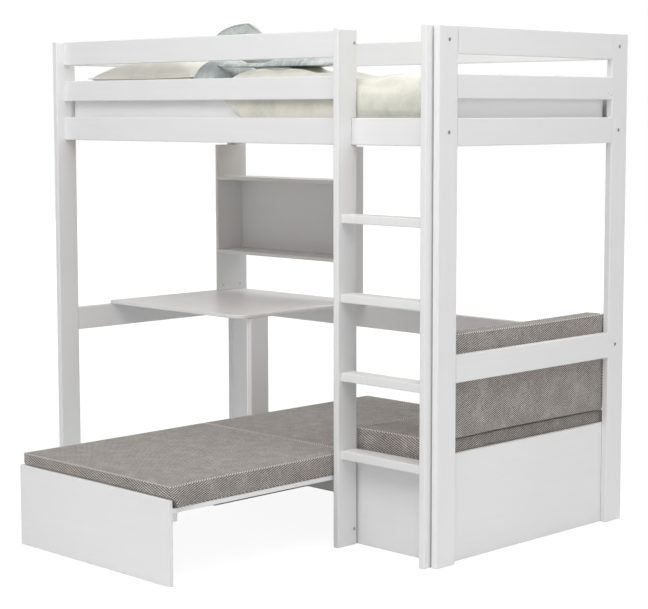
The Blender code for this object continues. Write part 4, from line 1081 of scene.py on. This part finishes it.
def socket_head(name, middle, out, radius):
    """A round head with a hexagonal socket, on a face that looks along X: out is 1 or -1."""
    turn = Vector((out, 0, 0)).to_track_quat("Z", "Y").to_matrix().to_4x4()
    high = radius * HEAD_HIGH
    bm = bmesh.new()
    bm.loops.layers.uv.new("weave")
    angles = [2 * math.pi * i / HEAD_SIDES for i in range(HEAD_SIDES)]
    rings = []

    def hexagon(angle):
        return SOCKET_WIDE / math.cos((angle + math.pi / 6) % (math.pi / 3) - math.pi / 6)

    def add_ring(reaches, level):
        rings.append([bm.verts.new((reach * math.cos(angle), reach * math.sin(angle), high * level))
                      for reach, angle in zip(reaches, angles)])

    for level, share in HEAD_PROFILE:
        add_ring([radius * share] * HEAD_SIDES, level)
    for level, share in SOCKET_PROFILE:
        add_ring([radius * hexagon(angle) * share for angle in angles], level)
    for ring, following in zip(rings, rings[1:]):
        for i in range(HEAD_SIDES):
            j = (i + 1) % HEAD_SIDES
            bm.faces.new((ring[i], ring[j], following[j], following[i]))
    bm.faces.new(rings[0])
    bm.faces.new(rings[-1])
    obj = link(name, bm, MATERIALS["bolt"], shade_smooth=False)
    obj.data.transform(Matrix.Translation(middle - out * Vector((HEAD_SUNK, 0, 0))) @ turn)
    settle(obj, "frame")


def make_fastenings():
    """Small heads where the photograph shows them."""
    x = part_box("ladder_left_upright")[1].x
    rail_low, rail_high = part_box("front_top_guard_rail")
    for name, z in (("upper", (rail_low.z + rail_high.z) / 2), ("lower", LADDER_HEAD_LOW)):
        socket_head(f"ladder_bolt_{name}", Vector((x, rail_low.y + LADDER_HEAD_BACK, z)), 1,
                    LADDER_HEAD)
    low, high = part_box("shelf_left_panel")
    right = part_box("shelf_right_panel")[0].x
    for side, x, out in (("left", high.x, 1), ("right", right, -1)):
        for place, y in (("front", low.y + SHELF_HEAD_FRONT), ("rear", high.y - SHELF_HEAD_REAR)):
            socket_head(f"shelf_screw_{side}_{place}", Vector((x, y, low.z + SHELF_HEAD_UP)), out,
                        SHELF_HEAD)
    low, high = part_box("right_end_middle_guard_rail")
    for place, (inwards, lift) in RAIL_HEAD_PLACES.items():
        middle = Vector((high.x, high.y - inwards, (low.z + high.z) / 2 + lift))
        socket_head(f"rail_screw_{place}", middle, 1, RAIL_HEAD)


# --- Stage


def make_floor():
    bm = bmesh.new()
    bmesh.ops.create_grid(bm, x_segments=1, y_segments=1, size=FLOOR_SIZE / 2)
    floor = link("floor", bm, floor_white(), shade_smooth=False)
    floor.location.z = -FLOOR_DROP


def make_world():
    """White where it is seen, and dimmer as a light."""
    scene.world = bpy.data.worlds.new("studio")
    made = Nodes(scene.world)
    path = made.node("LightPath").outputs
    seen = path["Is Camera Ray"]
    for ray in ("Is Glossy Ray", "Is Transmission Ray"):
        seen = made.maths("MAXIMUM", seen, path[ray])
    ground = made.tree.nodes["Background"]
    made.feed(ground.inputs["Color"], WHITE)
    made.feed(ground.inputs["Strength"], made.spread(seen, 0.0, 1.0, WORLD_LIGHT, 1.0))


def make_lamps():
    for name, (bearing, height, power) in LAMPS.items():
        tilt = Matrix.Rotation(math.radians(90 - height), 3, "X")
        turn = Matrix.Rotation(math.radians(bearing), 3, "Z") @ tilt
        lamp = bpy.data.lights.new(name, "AREA")
        lamp.shape = "DISK"
        lamp.size = LAMP_WIDTH
        lamp.energy = power
        obj = bpy.data.objects.new(name, lamp)
        obj.location = LAMP_TARGET + turn @ Vector((0.0, 0.0, LAMP_REACH))
        obj.rotation_euler = turn.to_euler()
        scene.collection.objects.link(obj)


def make_camera():
    data = bpy.data.cameras.new("camera")
    data.lens = CAMERA_LENS
    data.sensor_width = CAMERA_SENSOR
    data.shift_x, data.shift_y = CAMERA_SHIFT
    data.clip_end = CAMERA_SEES
    camera = bpy.data.objects.new("camera", data)
    turn = Vector(CAMERA_FORWARD).to_track_quat("-Z", "Y").to_matrix().to_4x4()
    roll = Matrix.Rotation(CAMERA_ROLL, 4, "Z")
    camera.matrix_world = Matrix.Translation(CAMERA_PLACE) @ turn @ roll
    scene.collection.objects.link(camera)
    scene.camera = camera


make_camera()
dress_cad_nodes()
make_cushions()
make_mattress()
make_turned_back(make_quilt(), make_pillows())
make_fastenings()
make_floor()
make_world()
make_lamps()
scene.view_settings.view_transform = "Standard"
